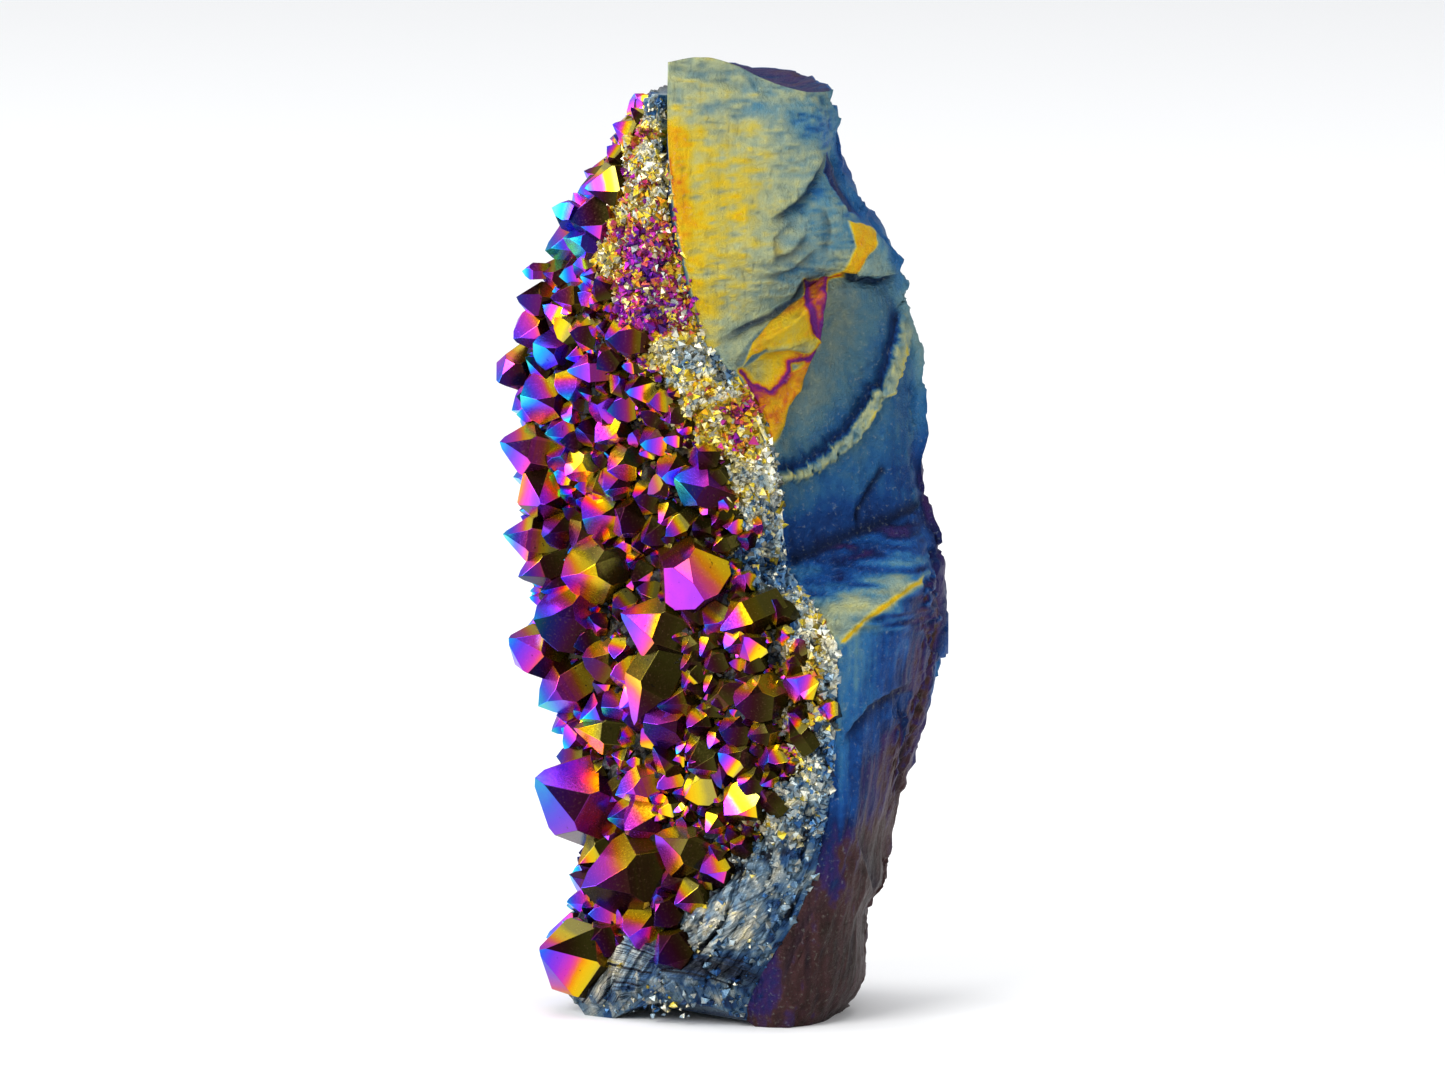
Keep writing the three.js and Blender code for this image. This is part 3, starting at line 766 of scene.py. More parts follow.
# Hidden rails as (height z, x, y): right side, back right, back, and the crust's border behind.
BACK_RAILS: tuple[Rail, ...] = (
    ((0, 20, 4), (30, 26.5, 7), (50, 33, 7), (68, 36, 8), (90, 33, 7), (125, 29.5, 5),
     (134, 26.5, 4), (145, 18.5, 2), (165, 16.5, 1)),
    ((0, 14, 15), (14, 20, 14), (30, 19, 18), (52, 30, 15.5), (65, 28, 19), (90, 27, 15),
     (108, 22, 17), (125, 23, 12), (140, 14, 12), (165, 12.5, 8.5)),
    ((0, 3, 19), (22, -1, 22.5), (36, 6, 20.5), (65, 4, 24), (78, 9, 21), (100, 0, 23),
     (125, 3, 16.5), (145, 1, 15), (165, 2.5, 11)),
    ((0, -9, 14), (16, -14, 16), (30, -10.5, 18.5), (47, -17.5, 19.5), (65, -14.5, 22.5),
     (83, -19.5, 19.5), (100, -15.5, 20.5), (113, -17.5, 17), (125, -12.5, 17),
     (136, -13, 13), (145, -7.5, 12.5), (165, -6, 9)),
)
# Rails inside the cluster, where the crust grows on the rock.
SEAM_RAILS: tuple[Rail, ...] = (
    ((0, -11, 2), (30, -9, 5), (65, -15, 8), (100, -18, 6), (125, -15, 4), (145, -10.8, 0),
     (165, -8.4, -4)),
    ((0, -4, -12), (30, 4, -12), (65, 4, -14), (78, 1, -4), (100, -4, -5), (115, -9, -8),
     (140, -10.8, -12), (150, -9.4, -12.5), (165, -8.6, -13)),
)


def arched(places: Array) -> Array:
    """Lifts the lowest part of places over the low arch between the crust's foot and the rock's.

    Args:
        places: Points in millimetres; the foot is at z = 0.

    Returns:
        The points, raised by a circle's arc that fades out by the time they are `fade` up.
    """
    middle, width, rise, fade = -6.5, 24, 4, 16
    radius = (width**2 / 4 + rise**2) / (2 * rise)
    across = np.minimum(np.abs(places[..., 0] - middle), radius)
    arc = np.maximum(np.sqrt(radius**2 - across**2) - (radius - rise), 0)
    lifted = places.copy()
    lifted[..., 2] += arc * np.clip(1 - places[..., 2] / fade, 0, 1)
    return lifted


@dataclass(frozen=True)
class Wash:
    """A soft patch of coating: a bell round (x, v) in the front view, with its own thickness."""

    x: float
    v: float
    wide: float
    tall: float
    film: float


def blend_washes(washes: Sequence[Wash], x: Array, v: Array, plain: Array, least: float) -> Array:
    """The coating under soft patches: the mean of their thicknesses, weighed by nearness.

    A patch weighs the exponential of minus the squared distance from its middle, in its widths.

    Args:
        washes: The patches.
        x: Places across the front view.
        v: Places up it.
        plain: The thickness far from every patch.
        least: What that weighs.

    Returns:
        A thickness for each place.
    """
    total, weight = np.zeros(x.shape), np.zeros(x.shape)
    for wash in washes:
        share = np.exp(-(((x - wash.x) / wash.wide) ** 2) - ((v - wash.v) / wash.tall) ** 2)
        total += share * wash.film
        weight += share
    return (total + least * plain) / (weight + least)


ROCK_WASHES = tuple(Wash(*row) for row in (
    # the upper face: gold by the crust, grey in the middle, blue to the right
    (-8.2, 152, 2.6, 6, 0.79), (-7.4, 143, 1.9, 5, 0.90), (-6.6, 136, 1.8, 4, 0.86),
    (-4.6, 130, 2.6, 6, 0.80), (-2.4, 121, 2.4, 5, 0.77), (-7.6, 160, 4, 4, 0.60),
    (-3.6, 157.5, 4, 3, 0.62), (-1, 150, 4, 6, 0.70), (2, 141, 4, 8, 0.74),
    (0, 132, 4, 6, 0.72), (3, 125, 5, 4, 0.68), (6, 148, 4, 6, 0.66),
    (3, 155, 12, 1.5, 0.47), (10, 158, 7, 2.5, 0.54), (16, 153, 3, 2.5, 0.40),
    (11, 149, 4, 4, 0.55), (8, 140, 3, 5, 0.62), (6, 133, 4, 4, 0.64),
    (10, 131, 4, 4, 0.56), (15, 136, 3, 4, 0.50), (12, 127.5, 3.5, 2, 0.48),
    (7, 123.8, 4, 2, 0.52), (1, 118.5, 4, 2, 0.54),
    # the scar, over and under its curved ridge
    (18, 120, 3, 5, 0.58), (15, 108, 3, 7, 0.56), (23, 118, 4, 6, 0.52),
    (21, 109, 4, 7, 0.49), (12, 99, 3, 4, 0.52), (28, 122, 3, 4, 0.49),
    (26, 113, 3, 5, 0.44), (19, 101, 4, 4, 0.46), (33, 108, 2.5, 14, 0.38),
    (13, 90, 3, 3, 0.44), (20, 92, 4, 3, 0.40), (27, 98, 3, 5, 0.40),
    (14, 84, 5, 4, 0.28), (22, 87, 5, 3.5, 0.30), (30, 93, 3, 5, 0.30),
    (18, 81.5, 8, 1.5, 0.21), (28, 85.5, 5, 2, 0.20),
    # the ledge
    (14, 77.5, 4, 2.2, 0.31), (22, 80, 5, 2.2, 0.30), (30, 83.5, 4, 3, 0.30),
    (17, 74, 3, 2.5, 0.37), (24, 76, 5, 2, 0.36), (30, 79, 4, 2, 0.38),
    (19, 69.5, 3, 2.2, 0.62), (23, 71.5, 3.5, 1.6, 0.68), (29, 75, 3.5, 1.6, 0.63),
    (34.5, 80, 2, 3, 0.36),
    # the lower face
    (21, 62, 2, 5, 0.43), (25, 64, 2.5, 5, 0.38), (29, 66, 2.5, 6, 0.34),
    (33, 70, 2, 5, 0.22), (36, 68, 1.6, 8, 0.12), (21, 51, 2, 8, 0.38),
    (25, 52, 2.5, 5, 0.34), (29.5, 59, 2.5, 3, 0.20), (33, 60, 2, 6, 0.13),
    (29, 53, 2.5, 3, 0.30), (33, 53, 2, 5, 0.08), (20.5, 40, 1.8, 6, 0.33),
    (24.5, 42, 2.4, 6, 0.19), (28.5, 44, 2, 7, 0.08), (18.5, 28, 1.6, 6, 0.22),
    (22, 29, 2.5, 6, 0.07), (14, 12, 2.6, 7, 0.07), (20, 12, 5, 10, 0.03),
    (7.5, 7, 2, 6, 0.17), (10, 1, 4, 2.5, 0.08), (26, 25, 2, 10, 0.05),
))


@dataclass(frozen=True)
class Facet:
    """A crisp facet of the rock, given by its outline in the front view."""

    name: str
    outline: tuple[tuple[float, float], ...]
    film: float
    slope: tuple[float, float] = (0.0, 0.0)  # how the coating thickens across and up, a millimetre
    lift: float = 0.0  # how far it stands out
    dish: float = 0.0  # how far its middle is sunk
    edge: float = 0.0  # how much thicker the coating is along the outline


FACETS = (
    Facet("grey folds", (
        (-2.9, 114.2), (0.5, 116.4), (5.7, 119.2), (8.3, 120.3), (4.6, 116.4), (2.3, 113.2),
        (1.8, 111.4), (-0.8, 112.4)), 0.60, (0.01, 0), 0.15),
    Facet("upper gold facet", (
        (14, 124.2), (14.6, 121.3), (15, 117.1), (11.1, 115.6), (7.5, 115.1), (4.9, 114),
        (3.1, 111.7), (5.2, 116.2), (8.3, 119.9),
        (11.4, 122.6)), 0.80, (-0.006, 0.012), 0.35, 0.25),
    Facet("purple triangle", (
        (14, 126.6), (16.1, 127.2), (17.9, 127.2), (17.8, 125.7), (16.9, 121.5), (16.4, 116.1),
        (15.3, 117.1), (14.6, 121.3), (14, 125.2)), 0.90, (0, -0.004), 0.5, 0.5, 0.10),
    Facet("crest", (
        (7.5, 115.5), (11.1, 116.2), (15, 117.6), (16.4, 116.4), (14.6, 114.6), (11.1, 115),
        (7.5, 114.4)), 0.66, (0, 0.03), 0.5),
    Facet("pocket", (
        (3.3, 111.7), (7.5, 114.6), (11.1, 115.1), (14.2, 114.4), (12.9, 113.4), (11.1, 113),
        (11.4, 111.7), (10.1, 109.8), (8, 108.4), (5.7, 109)), 0.83, (0.022, 0), -0.1, 1.2),
    Facet("lower gold facet", (
        (4.4, 109), (8, 107.8), (11.4, 111), (13.5, 112.7), (15.6, 115.2), (13.9, 110.6),
        (13.2, 108.1), (11.1, 105.5), (10.4, 102.1), (9.6, 100.3), (8.2, 99), (6.2, 104.7)),
        0.87, (-0.012, 0.006), 0.3, 0.3),
    Facet("gold strip", (
        (21.2, 136.8), (25.9, 135.7), (25.9, 132.4), (22.3, 128.2), (20, 128.2), (22.6, 132.4)),
        0.80, (0.02, 0), 0.5, 0.3),
    Facet("dark scarp", (
        (17.7, 148.8), (19.4, 144), (24, 137.4), (21.2, 138.4), (18.8, 142.4), (17.4, 145)),
        0.25, (0, 0), -0.3),
    Facet("block", (
        (25.9, 134.8), (31.4, 131.6), (31.4, 127.6), (22.3, 127.6), (22.6, 128.4), (25.9, 132.4)),
        0.48, (0, 0), 0.7, -0.2),
    Facet("lit step", (
        (21.8, 49.6), (24.5, 53.2), (29.5, 55.9), (32.2, 57.4), (31.2, 54), (26, 51.6),
        (23.4, 47.6)),
        0.30, (0, 0), 0),
)


@dataclass(frozen=True)
class Break:
    """A step along a bent line of the front view: up on the left of its way, down on the right."""

    line: tuple[tuple[float, float], ...]
    step: float
    fade: float  # how far from the line the step dies out
    dark: float = 0.7  # how dark the painted shade at the foot of the step is
    groove: float = 0.0  # how deep a crack runs along it


BREAKS = (
    Break(((8, 136.6), (10.8, 138.6), (13.6, 140.6), (15.4, 143.6), (18, 149.6)),
          0.95, 3.2, 0.8, 0.5),
    Break(((24, 137.2), (20.4, 142), (17.8, 148.4)), 0.5, 2, 0.8),
    Break(((8, 130), (11.6, 131.4), (14.6, 134.6)), 0.4, 2, 0.6, 0.15),
    Break(((6.6, 127), (12, 128.6), (16.4, 132.2)), 0.35, 1.8, 0.5, 0.1),
    Break(((9, 129.6), (8.6, 133.8), (12.6, 137.6)), 0.3, 1.8, 0.4),
    Break(((17, 139.4), (18.2, 135.4), (17.4, 130.4)), 0.3, 1.6, 0.5),
    Break(((31.4, 128), (26.5, 127), (23, 127.3), (20, 128.2)), -0.75, 2, 0.9, 0.6),
    Break(((3.1, 111.2), (5, 108.8), (8, 107.8), (10.4, 109.6), (11.6, 111.6), (11.3, 113),
           (12.9, 113.3), (14.6, 113.8), (16.2, 116)), 0.2, 1, 0.2),
    Break(((8, 99), (10.4, 102), (11.1, 105.4), (13.2, 108), (14, 110.8), (16.3, 116.2),
           (17, 121), (18, 127)), 0.5, 2.2, 0.2),
    Break(((-2.8, 115.2), (4.5, 119.4), (8.3, 121.2), (11.4, 123.2), (13.9, 126.9), (18, 127.8)),
          0.35, 1.6, 0.9),
    Break(((23.3, 83.4), (22.7, 86.5), (22.8, 88.2), (24.1, 90.5), (25.2, 92.2), (26.7, 94.7),
           (26.4, 96.4)),
          0.3, 1.4, 0.95, 0.5),
    Break(((32.3, 58.7), (29.8, 57.5), (25.5, 54.9), (22.7, 52.2), (20.2, 48.4)),
          -0.7, 2.6, 0.9, 0.5),
    Break(((29.8, 34), (29.4, 41), (30.8, 49), (29.8, 57)), 0.5, 2, 0.5, 0.3),
    Break(((26.8, 21.6), (24.8, 26.4), (22.8, 33), (23.6, 40)), 0.4, 1.8, 0.4, 0.2),
    Break(((16, 22), (12.6, 14), (9.4, 6)), 0.3, 2, 0.3),
)
# The curved ridge across the scar, in the front view.
ARC_RIDGE = (
    (31.2, 120.5), (30.2, 116), (29.2, 112), (27.3, 108), (24.8, 104.4), (21.6, 100.2),
    (17.6, 96.6), (13.6, 94.3), (10, 93),
)


@dataclass
class HostRock:
    """The broken block that the crust grows on."""

    front_steps: int = 30  # columns between two front rails
    back_steps: int = 14  # columns between two hidden rails
    seam_steps: int = 4
    row_steps: int = 22  # rows between two levels
    chip_rows: int = 2  # coarse chips between two levels
    chip_columns: tuple[int, int] = (3, 2)  # and between two front or two hidden rails
    chips: tuple[float, float] = (0.3, 1.5)  # how far they stand out in front and behind

    @property
    def front_columns(self) -> int:
        """How many columns the front has."""
        return (len(LEVELS[0].front) - 1) * self.front_steps

    @property
    def open_columns(self) -> int:
        """How many columns the front and the back have together."""
        return self.front_columns + len(BACK_RAILS) * self.back_steps

    def ring(self, level: Level) -> Array:
        """One level's closed ring: a smooth front, a smooth back, and chords in the seam.

        Args:
            level: The level.

        Returns:
            A place for each column.
        """
        x, y, v = np.array(level.front, dtype=float).T
        face = VIEW.seen(x, y, v)
        rails = [*BACK_RAILS, *SEAM_RAILS]
        share = (np.arange(len(rails)) + 1) / (len(rails) + 1)
        hidden = rails_at(rails, face[-1, 2] + share * (face[0, 2] - face[-1, 2]))
        back = np.concatenate([face[-1:], hidden[: len(BACK_RAILS)]])
        seam = np.concatenate([hidden[len(BACK_RAILS) - 1 :], face[:1]])
        t = np.arange(self.seam_steps)[None, :, None] / self.seam_steps
        chords = (seam[:-1, None] * (1 - t) + seam[1:, None] * t).reshape(-1, 3)
        return np.concatenate(
            [smooth_curve(face, self.front_steps), smooth_curve(back, self.back_steps), chords]
        )

    def net(self) -> Array:
        """The rock's rows: each column is a smooth curve, broken at the sharp levels.

        Returns:
            Places as (row, column, 3), with the coarse facets standing out.
        """
        rings = np.stack([self.ring(level) for level in LEVELS])
        rings[0, :, 2] = 0
        breaks = [i for i, level in enumerate(LEVELS) if level.sharp]
        spans = [
            smooth_curve(rings[low : high + 1], self.row_steps)
            for low, high in zip(breaks, breaks[1:])
        ]
        rows = np.concatenate([*spans, rings[-1:]])
        return rows + self.outward(rows) * self.coarse_chips(rows)[..., None]

    @staticmethod
    def outward(rows: Array) -> Array:
        """The way out in plan, square to each row."""
        step = np.roll(rows, -1, axis=1) - np.roll(rows, 1, axis=1)
        return unit(np.stack([step[..., 1], -step[..., 0], np.zeros(step.shape[:2])], axis=-1))

    def coarse_chips(self, rows: Array) -> Array:
        """The coarse facets: a value for each of their corners, blended evenly between.

        Args:
            rows: The smooth net.

        Returns:
            How far they stand out, in millimetres.
        """
        height, width = rows.shape[:2]
        column = np.arange(width)
        front, behind = self.chip_columns
        in_front = column < self.front_columns
        past = (column - self.front_columns) * behind / self.back_steps
        past = (len(LEVELS[0].front) - 1) * front + past
        coarse = np.where(in_front, column * front / self.front_steps, past)
        reach = np.where(in_front, *self.chips)
        reach = np.where((column > 0) & (column < self.open_columns), reach, 0)
        row = np.arange(height) * self.chip_rows / self.row_steps
        r, c = np.meshgrid(row, coarse, indexing="ij")
        low_r, low_c = np.floor(r), np.floor(c)
        blended = np.zeros(r.shape)
        for up, over in np.ndindex(2, 2):
            wave = np.sin((low_r + up) * 12.9898 + (low_c + over) * 78.233) * 43758.5453
            value = 2 * (wave - np.floor(wave)) - 1
            share = (1 - np.abs(r - low_r - up)) * (1 - np.abs(c - low_c - over))
            blended += np.maximum(share, 0) * value
        return blended * reach

    def zones(self, x: Array, v: Array) -> dict[str, Array]:
        """The named parts of the surface, with soft steps between them.

        Args:
            x: The net's places across the front view.
            v: Its places up the view.

        Returns:
            For each part, a share from 0 to 1 at each place.
        """
        column = np.arange(x.shape[1])[None, :]
        front = step_up(self.front_columns - column, 0, 16) * np.ones(x.shape)
        border = step_up(column, 0, 8) * step_up(self.open_columns - column, 0, 8)
        crease, fold = np.interp(x, *CREASE_LINE), np.interp(x, *FOLD_LINE)
        under = step_up(v, 66, 68) * (1 - step_up(v - crease, -0.6, 0.6))
        right = hump(x - 33.4, 1.8) * step_up(v, 84, 92) * (1 - step_up(v, 118, 126))
        rim = step_up(v, 46, 60) * (1 - step_up(v, 74, 82)) * step_up(x, 32.5, 35.5)
        bank = step_up(x, 27.5, 30.5) * (1 - step_up(v, 52, 60))
        return {
            "border": border, "front": front, "hidden": (1 - front) * border,
            "upper": step_up(v - fold, 0, 1.5) * front,
            "scar": step_up(v - crease, 0, 1) * (1 - step_up(v - fold, -1.5, 0.5)) * front,
            "ledge": under * front,
            "lower": (1 - step_up(v, 64.5, 68.5)) * front,
            "crag": np.clip(right + rim + bank, 0, 1) * front,
        }

    def relief(self, rows: Array) -> tuple[Array, Array]:
        """How far the fine relief stands out along the normal, and how dark it is.

        Args:
            rows: The net.

        Returns:
            Millimetres out, and a share from 0 to 1 of dark: painted shade in grooves and hollows,
            and the scar's own darker colour.
        """
        x, v = rows[..., 0], VIEW.up_of(rows)
        zone = self.zones(x, v)
        front, upper, scar = zone["front"], zone["upper"], zone["scar"]
        wavy = noise(rows, (6, 6, 2.4), 11) * 0.34
        wavy += noise(rows, (2.6, 2.6, 0.9), 12) * 0.2
        hair = noise(rows, (1.9, 1.9, 0.5), 13) * 0.13
        dash = self.dashes(x + 0.5 * noise(rows, 3, 17), v + 0.6 * noise(rows, 2.4, 18), rows)
        ripple = np.sin(np.hypot(x - 27, v - 128) * 1.9 + 1.2 * noise(rows, 6, 31)) * 0.04
        feather = noise(rows, (5, 5, 0.9), 41) * 0.30
        feather += noise(rows, (2.4, 2.4, 0.4), 42) * 0.14
        upright = noise(rows, (0.55, 0.55, 6), 51) * 0.07
        upright += noise(rows, (1.6, 1.6, 12), 52) * 0.2
        grit = layered(rows, 1.3, 3, 5)
        out = layered(rows, 8, 3, 1) * 0.32 * (1 - 0.6 * scar) + grit * (0.085 - 0.05 * scar)
        out += upper * (wavy + hair - 0.12 * dash) + scar * ripple + zone["ledge"] * feather * 1.5
        out += zone["lower"] * upright
        out += zone["crag"] * (chipped(rows, 4.6, 61) * 0.75 + chipped(rows, 2, 62) * 0.4 + upright)
        out += zone["hidden"] * (chipped(rows, 12, 71) + chipped(rows, 4.4, 72) * 0.5 + ripple * 2)
        # Painted shade in the hair cracks and in the hollows of the grit; the scar's share is its
        # own darker colour.
        shade = 0.3 * upper * dash + 0.35 * np.clip(-grit - 0.2, 0, 1) + 0.4 * scar
        # Painted shade in the hollows of the ledge's feathers, the upper face's waves and the lower
        # face's streaks.
        shade = shade + zone["ledge"] * np.clip(-feather * 1.6 - 0.1, 0, 0.5)
        shade = shade + upper * np.clip(-(wavy + 2 * hair) - 0.15, 0, 0.4)
        shade = shade + zone["lower"] * np.clip(-upright * 1.5 - 0.1, 0, 0.3)
        for facet in FACETS:
            depth = depth_inside(x, v, facet.outline) + 0.12 * noise(rows, 0.9, 81)
            inside = step_up(depth, -0.2, 0.25) * front
            out += facet.lift * inside - facet.dish * step_up(depth, 0, 2.2) * front
            worn = np.clip(0.6 * layered(rows, 2.2, 3, 83) - 0.02, 0, 0.4)
            shade = shade * (1 - 0.8 * inside) + inside * worn
        for one in BREAKS:
            away, share = line_distance(x, v, one.line)
            away = away + 0.22 * noise(rows, 1.3, 82)
            ends = np.clip(np.minimum(share, 1 - share) * 6, 0, 1) * front
            side = -np.tanh(away / 0.3) * np.sign(one.step)
            fall = abs(one.step) * side * np.exp(-np.abs(away) / one.fade)
            out += ends * (fall - one.groove * hump(away, 0.35))
            # Painted shade at the foot of each step.
            low = np.where(side < 0, hump(away, 1.3), hump(away, 0.3))
            shade = np.maximum(shade, one.dark * low * ends)
        ridge, crest = self.arc_ridge(x, v, rows)
        out += front * (crest * (0.9 + 0.5 * chipped(rows, 1.7, 92)) - 0.6 * hump(ridge - 1.9, 0.8))
        # Painted shadow on the ridge's inner side; the crest itself is kept light.
        inner = np.where(ridge > 1.3, np.exp(-(ridge - 1.3) / 1.1), 0)
        shade = shade * (1 - 0.9 * crest * front) + 0.55 * inner * front * (1 - crest)
        # Painted shade along the crease.
        fold = v - np.interp(x, *CREASE_LINE)
        crease = np.where(fold > 0, hump(fold, 2.6), hump(fold, 0.8)) * step_up(x, 9, 12)
        shade = np.maximum(shade, 0.95 * crease * front)
        # Painted shadow down the seam by the crust, lighter at the top.
        column = np.arange(rows.shape[1])[None, :]
        seam = step_up(column, self.open_columns - 6, self.open_columns)
        dark = (0.65 - 0.5 * step_up(v, 144, 154)) * seam
        return out * zone["border"], np.clip(np.maximum(shade * zone["border"], dark), 0, 1)

    @staticmethod
    def arc_ridge(x: Array, v: Array, rows: Array) -> tuple[Array, Array]:
        """The ridge across the scar: its line, broken to and fro by chips.

        Args:
            x: Places across the front view.
            v: Places up it.
            rows: The same places in space.

        Returns:
            The distance to the line, positive on its inner side, and the crest from 0 to 1.
        """
        ridge, share = line_distance(x, v, ARC_RIDGE)
        run = np.stack([share * 44, 0 * share, 0 * share], axis=-1)
        blocks = 0.55 * chipped(run, 3.4, 94) + 0.25 * chipped(run, 1.5, 95)
        ridge = ridge + blocks + 0.2 * noise(rows, 1.2, 91)
        half = 1.15 - 0.35 * step_up(share, 0.55, 0.95)
        crest = step_up(ridge, -half - 0.2, -half + 0.1)
        return ridge, crest * (1 - step_up(ridge, half - 0.4, half))

    @staticmethod
    def dashes(x: Array, v: Array, rows: Array) -> Array:
        """Short level and upright hair cracks that cross like a weave, as bells round even lines.

        Args:
            x: Places across the front view.
            v: Places up it.
            rows: The same places in space.

        Returns:
            A share from 0 to 1.
        """
        level = step_up(noise(rows, (1.5, 1.5, 0.9), 14), 0.05, 0.3)
        level = level * hump((v / 1.25) % 1 - 0.5, 0.12)
        upright = step_up(noise(rows, (0.9, 0.9, 1.6), 15), 0.15, 0.36)
        upright = upright * hump((x / 1.5) % 1 - 0.5, 0.1)
        patch = step_up(noise(rows, 9, 16), -0.35, 0.2)
        return np.maximum(level, upright) * patch

    def film(self, rows: Array, out: Array) -> Array:
        """The coating's thickness: washes, then crisp facets, then painted light and shade from the
        relief, the curved ridge and the seam.

        Args:
            rows: The net.
            out: How far the relief stands out at each point of it.

        Returns:
            A thickness of about 0 to 1.
        """
        x, v = rows[..., 0], VIEW.up_of(rows)
        zone = self.zones(x, v)
        drift = 1.3 * layered(rows, 5, 3, 101)
        plain = np.interp(v, (0, 40, 75, 100, 165), (0.10, 0.14, 0.27, 0.40, 0.46))
        plain = plain + 0.30 * layered(rows, 30, 2, 111) + 0.10 * layered(rows, 7, 3, 116)
        washed = blend_washes(ROCK_WASHES, x + drift, v + drift, plain, 0.004)
        streak = zone["ledge"] * noise(rows, (5, 5, 0.8), 41) * 0.14
        streak += zone["lower"] * noise(rows, (0.8, 0.8, 9), 51) * 0.05
        streak += zone["upper"] * noise(rows, (2.6, 2.6, 0.9), 12) * 0.05
        streak += zone["upper"] * noise(rows, (1.9, 1.9, 0.5), 13) * 0.05
        streak += zone["crag"] * chipped(rows, 2, 62) * 0.10
        washed = washed + streak + 0.035 * noise(rows, 0.9, 112)
        for facet in FACETS:
            depth = depth_inside(x, v, facet.outline) + 0.12 * noise(rows, 0.9, 81)
            cx, cv = np.mean(np.array(facet.outline), axis=0)
            colour = facet.film + facet.slope[0] * (x - cx) + facet.slope[1] * (v - cv)
            colour = colour + facet.edge * np.exp(-np.maximum(depth, 0) / 0.5)
            colour = colour + 0.06 * layered(rows, 2.2, 3, 113) + 0.03 * noise(rows, 0.7, 115)
            washed = washed + (colour - washed) * step_up(depth, -0.2, 0.2)
        ridge, crest = self.arc_ridge(x, v, rows)
        # Painted shadow: the coating turns deep blue on the ridge's inner side.
        inner = np.where(ridge > 1, np.exp(-(ridge - 1) / 2.4), 0) * zone["scar"]
        washed = washed + (0.27 - washed) * 0.85 * inner
        pale = 0.55 + 0.07 * hump(ridge + 0.9, 0.3) + 0.1 * chipped(rows, 1.5, 92)
        washed = washed + (pale - washed) * crest
        for line, wide, film in RIMS:
            away, _ = line_distance(x, v, line)
            rim = hump(away + 0.2 * noise(rows, 1, 114), wide)
            washed = washed + (film - washed) * rim
        blend = zone["front"]
        # Painted light and shade: raised spots get a thicker, paler coating and hollows a bluer
        # one.
        film = washed * blend + plain * (1 - blend) + 0.05 * np.clip(out, -1, 1) * blend
        # Painted shadow: the seam by the crust takes a deep blue coating, paler at the top.
        column = np.arange(rows.shape[1])[None, :]
        seam = step_up(column, self.open_columns - 7, self.open_columns - 3)
        flank = 0.25 + 0.22 * step_up(v, 144, 154) + 0.14 * layered(rows, 5, 3, 117)
        return film + (flank - film) * seam

    def surface(self) -> Surface:
        """The whole skin: foot, sides and dished top.

        Returns:
            A closed surface with `film` and `shade` on its points.
        """
        rows = self.net()
        out, shade = self.relief(rows)
        film = self.film(rows, out)
        out[0] = 0
        normals = grid_normals(rows)
        rows = rows + normals * out[..., None]
        rim = rows[-1]
        middle = rim.mean(0)
        reach = np.linspace(0.97, 0.03, 28)[:, None, None]
        drop = np.interp(reach, [0, 0.36, 0.72, 1], [2.8, 2.6, 1.6, 0])
        dish = middle + (rim - middle) * reach
        swirl = layered(dish + 0.8 * noise(dish, 5, 122)[..., None], (6, 1.7, 3), 3, 121)
        dish[..., 2] -= (drop + 0.45 * (1 - reach) ** 0.5 * reach**0.3 * swirl[..., None])[..., 0]
        top_film = np.clip(0.19 + 0.12 * swirl + 0.3 * step_up(-dish[..., 0], 0, 8), 0, 1)
        film = np.concatenate([film, top_film])
        shade = np.concatenate([shade, np.clip(-0.4 - swirl, 0, 0.5)])
        places, faces = closed_grid(arched(np.concatenate([rows, dish])))
        values = {"film": with_poles(film), "shade": with_poles(shade)}
        return Surface("rock_skin", places, faces, point_values=values, smooth=True)


# Thin lines of another colour along edges: the line, its width, and its coating.
RIMS = (
    (((3.1, 111.4), (4.9, 109.1), (8, 108), (10.1, 109.6), (11.4, 111.4), (11.1, 113),
    (12.7, 113.2),
      (14.5, 113.7), (16.1, 115.8)), 0.6, 1),
    (((4.4, 109), (6, 105.2), (8, 99.6)), 0.7, 0.99),
    (((14, 126.6), (14.2, 124.6), (15.2, 118)), 0.5, 1),
    (((17.9, 127.2), (20.6, 128)), 0.4, 0.92),
    (((20.5, 65.7), (23.8, 69), (28.9, 72.7), (34, 76.1)), 0.55, 0.82),
    (((-9, 147), (-8.4, 139), (-7.2, 131)), 0.45, 0.93),
    (((7.6, 98.8), (9.4, 100.4), (10.3, 102.6), (11, 105.8)), 0.4, 0.78),
)
# Where the ledge meets the scar, and where the upper face meets the gold ridges: x, then v.
CREASE_LINE = ((10.8, 16, 21, 26, 31, 34.2), (78.6, 80.8, 83, 85.1, 87.2, 89.4))
FOLD_LINE = ((-2.8, 4.5, 12.5, 18), (115.8, 119.9, 124.2, 127.4))


# ---- the crust ----

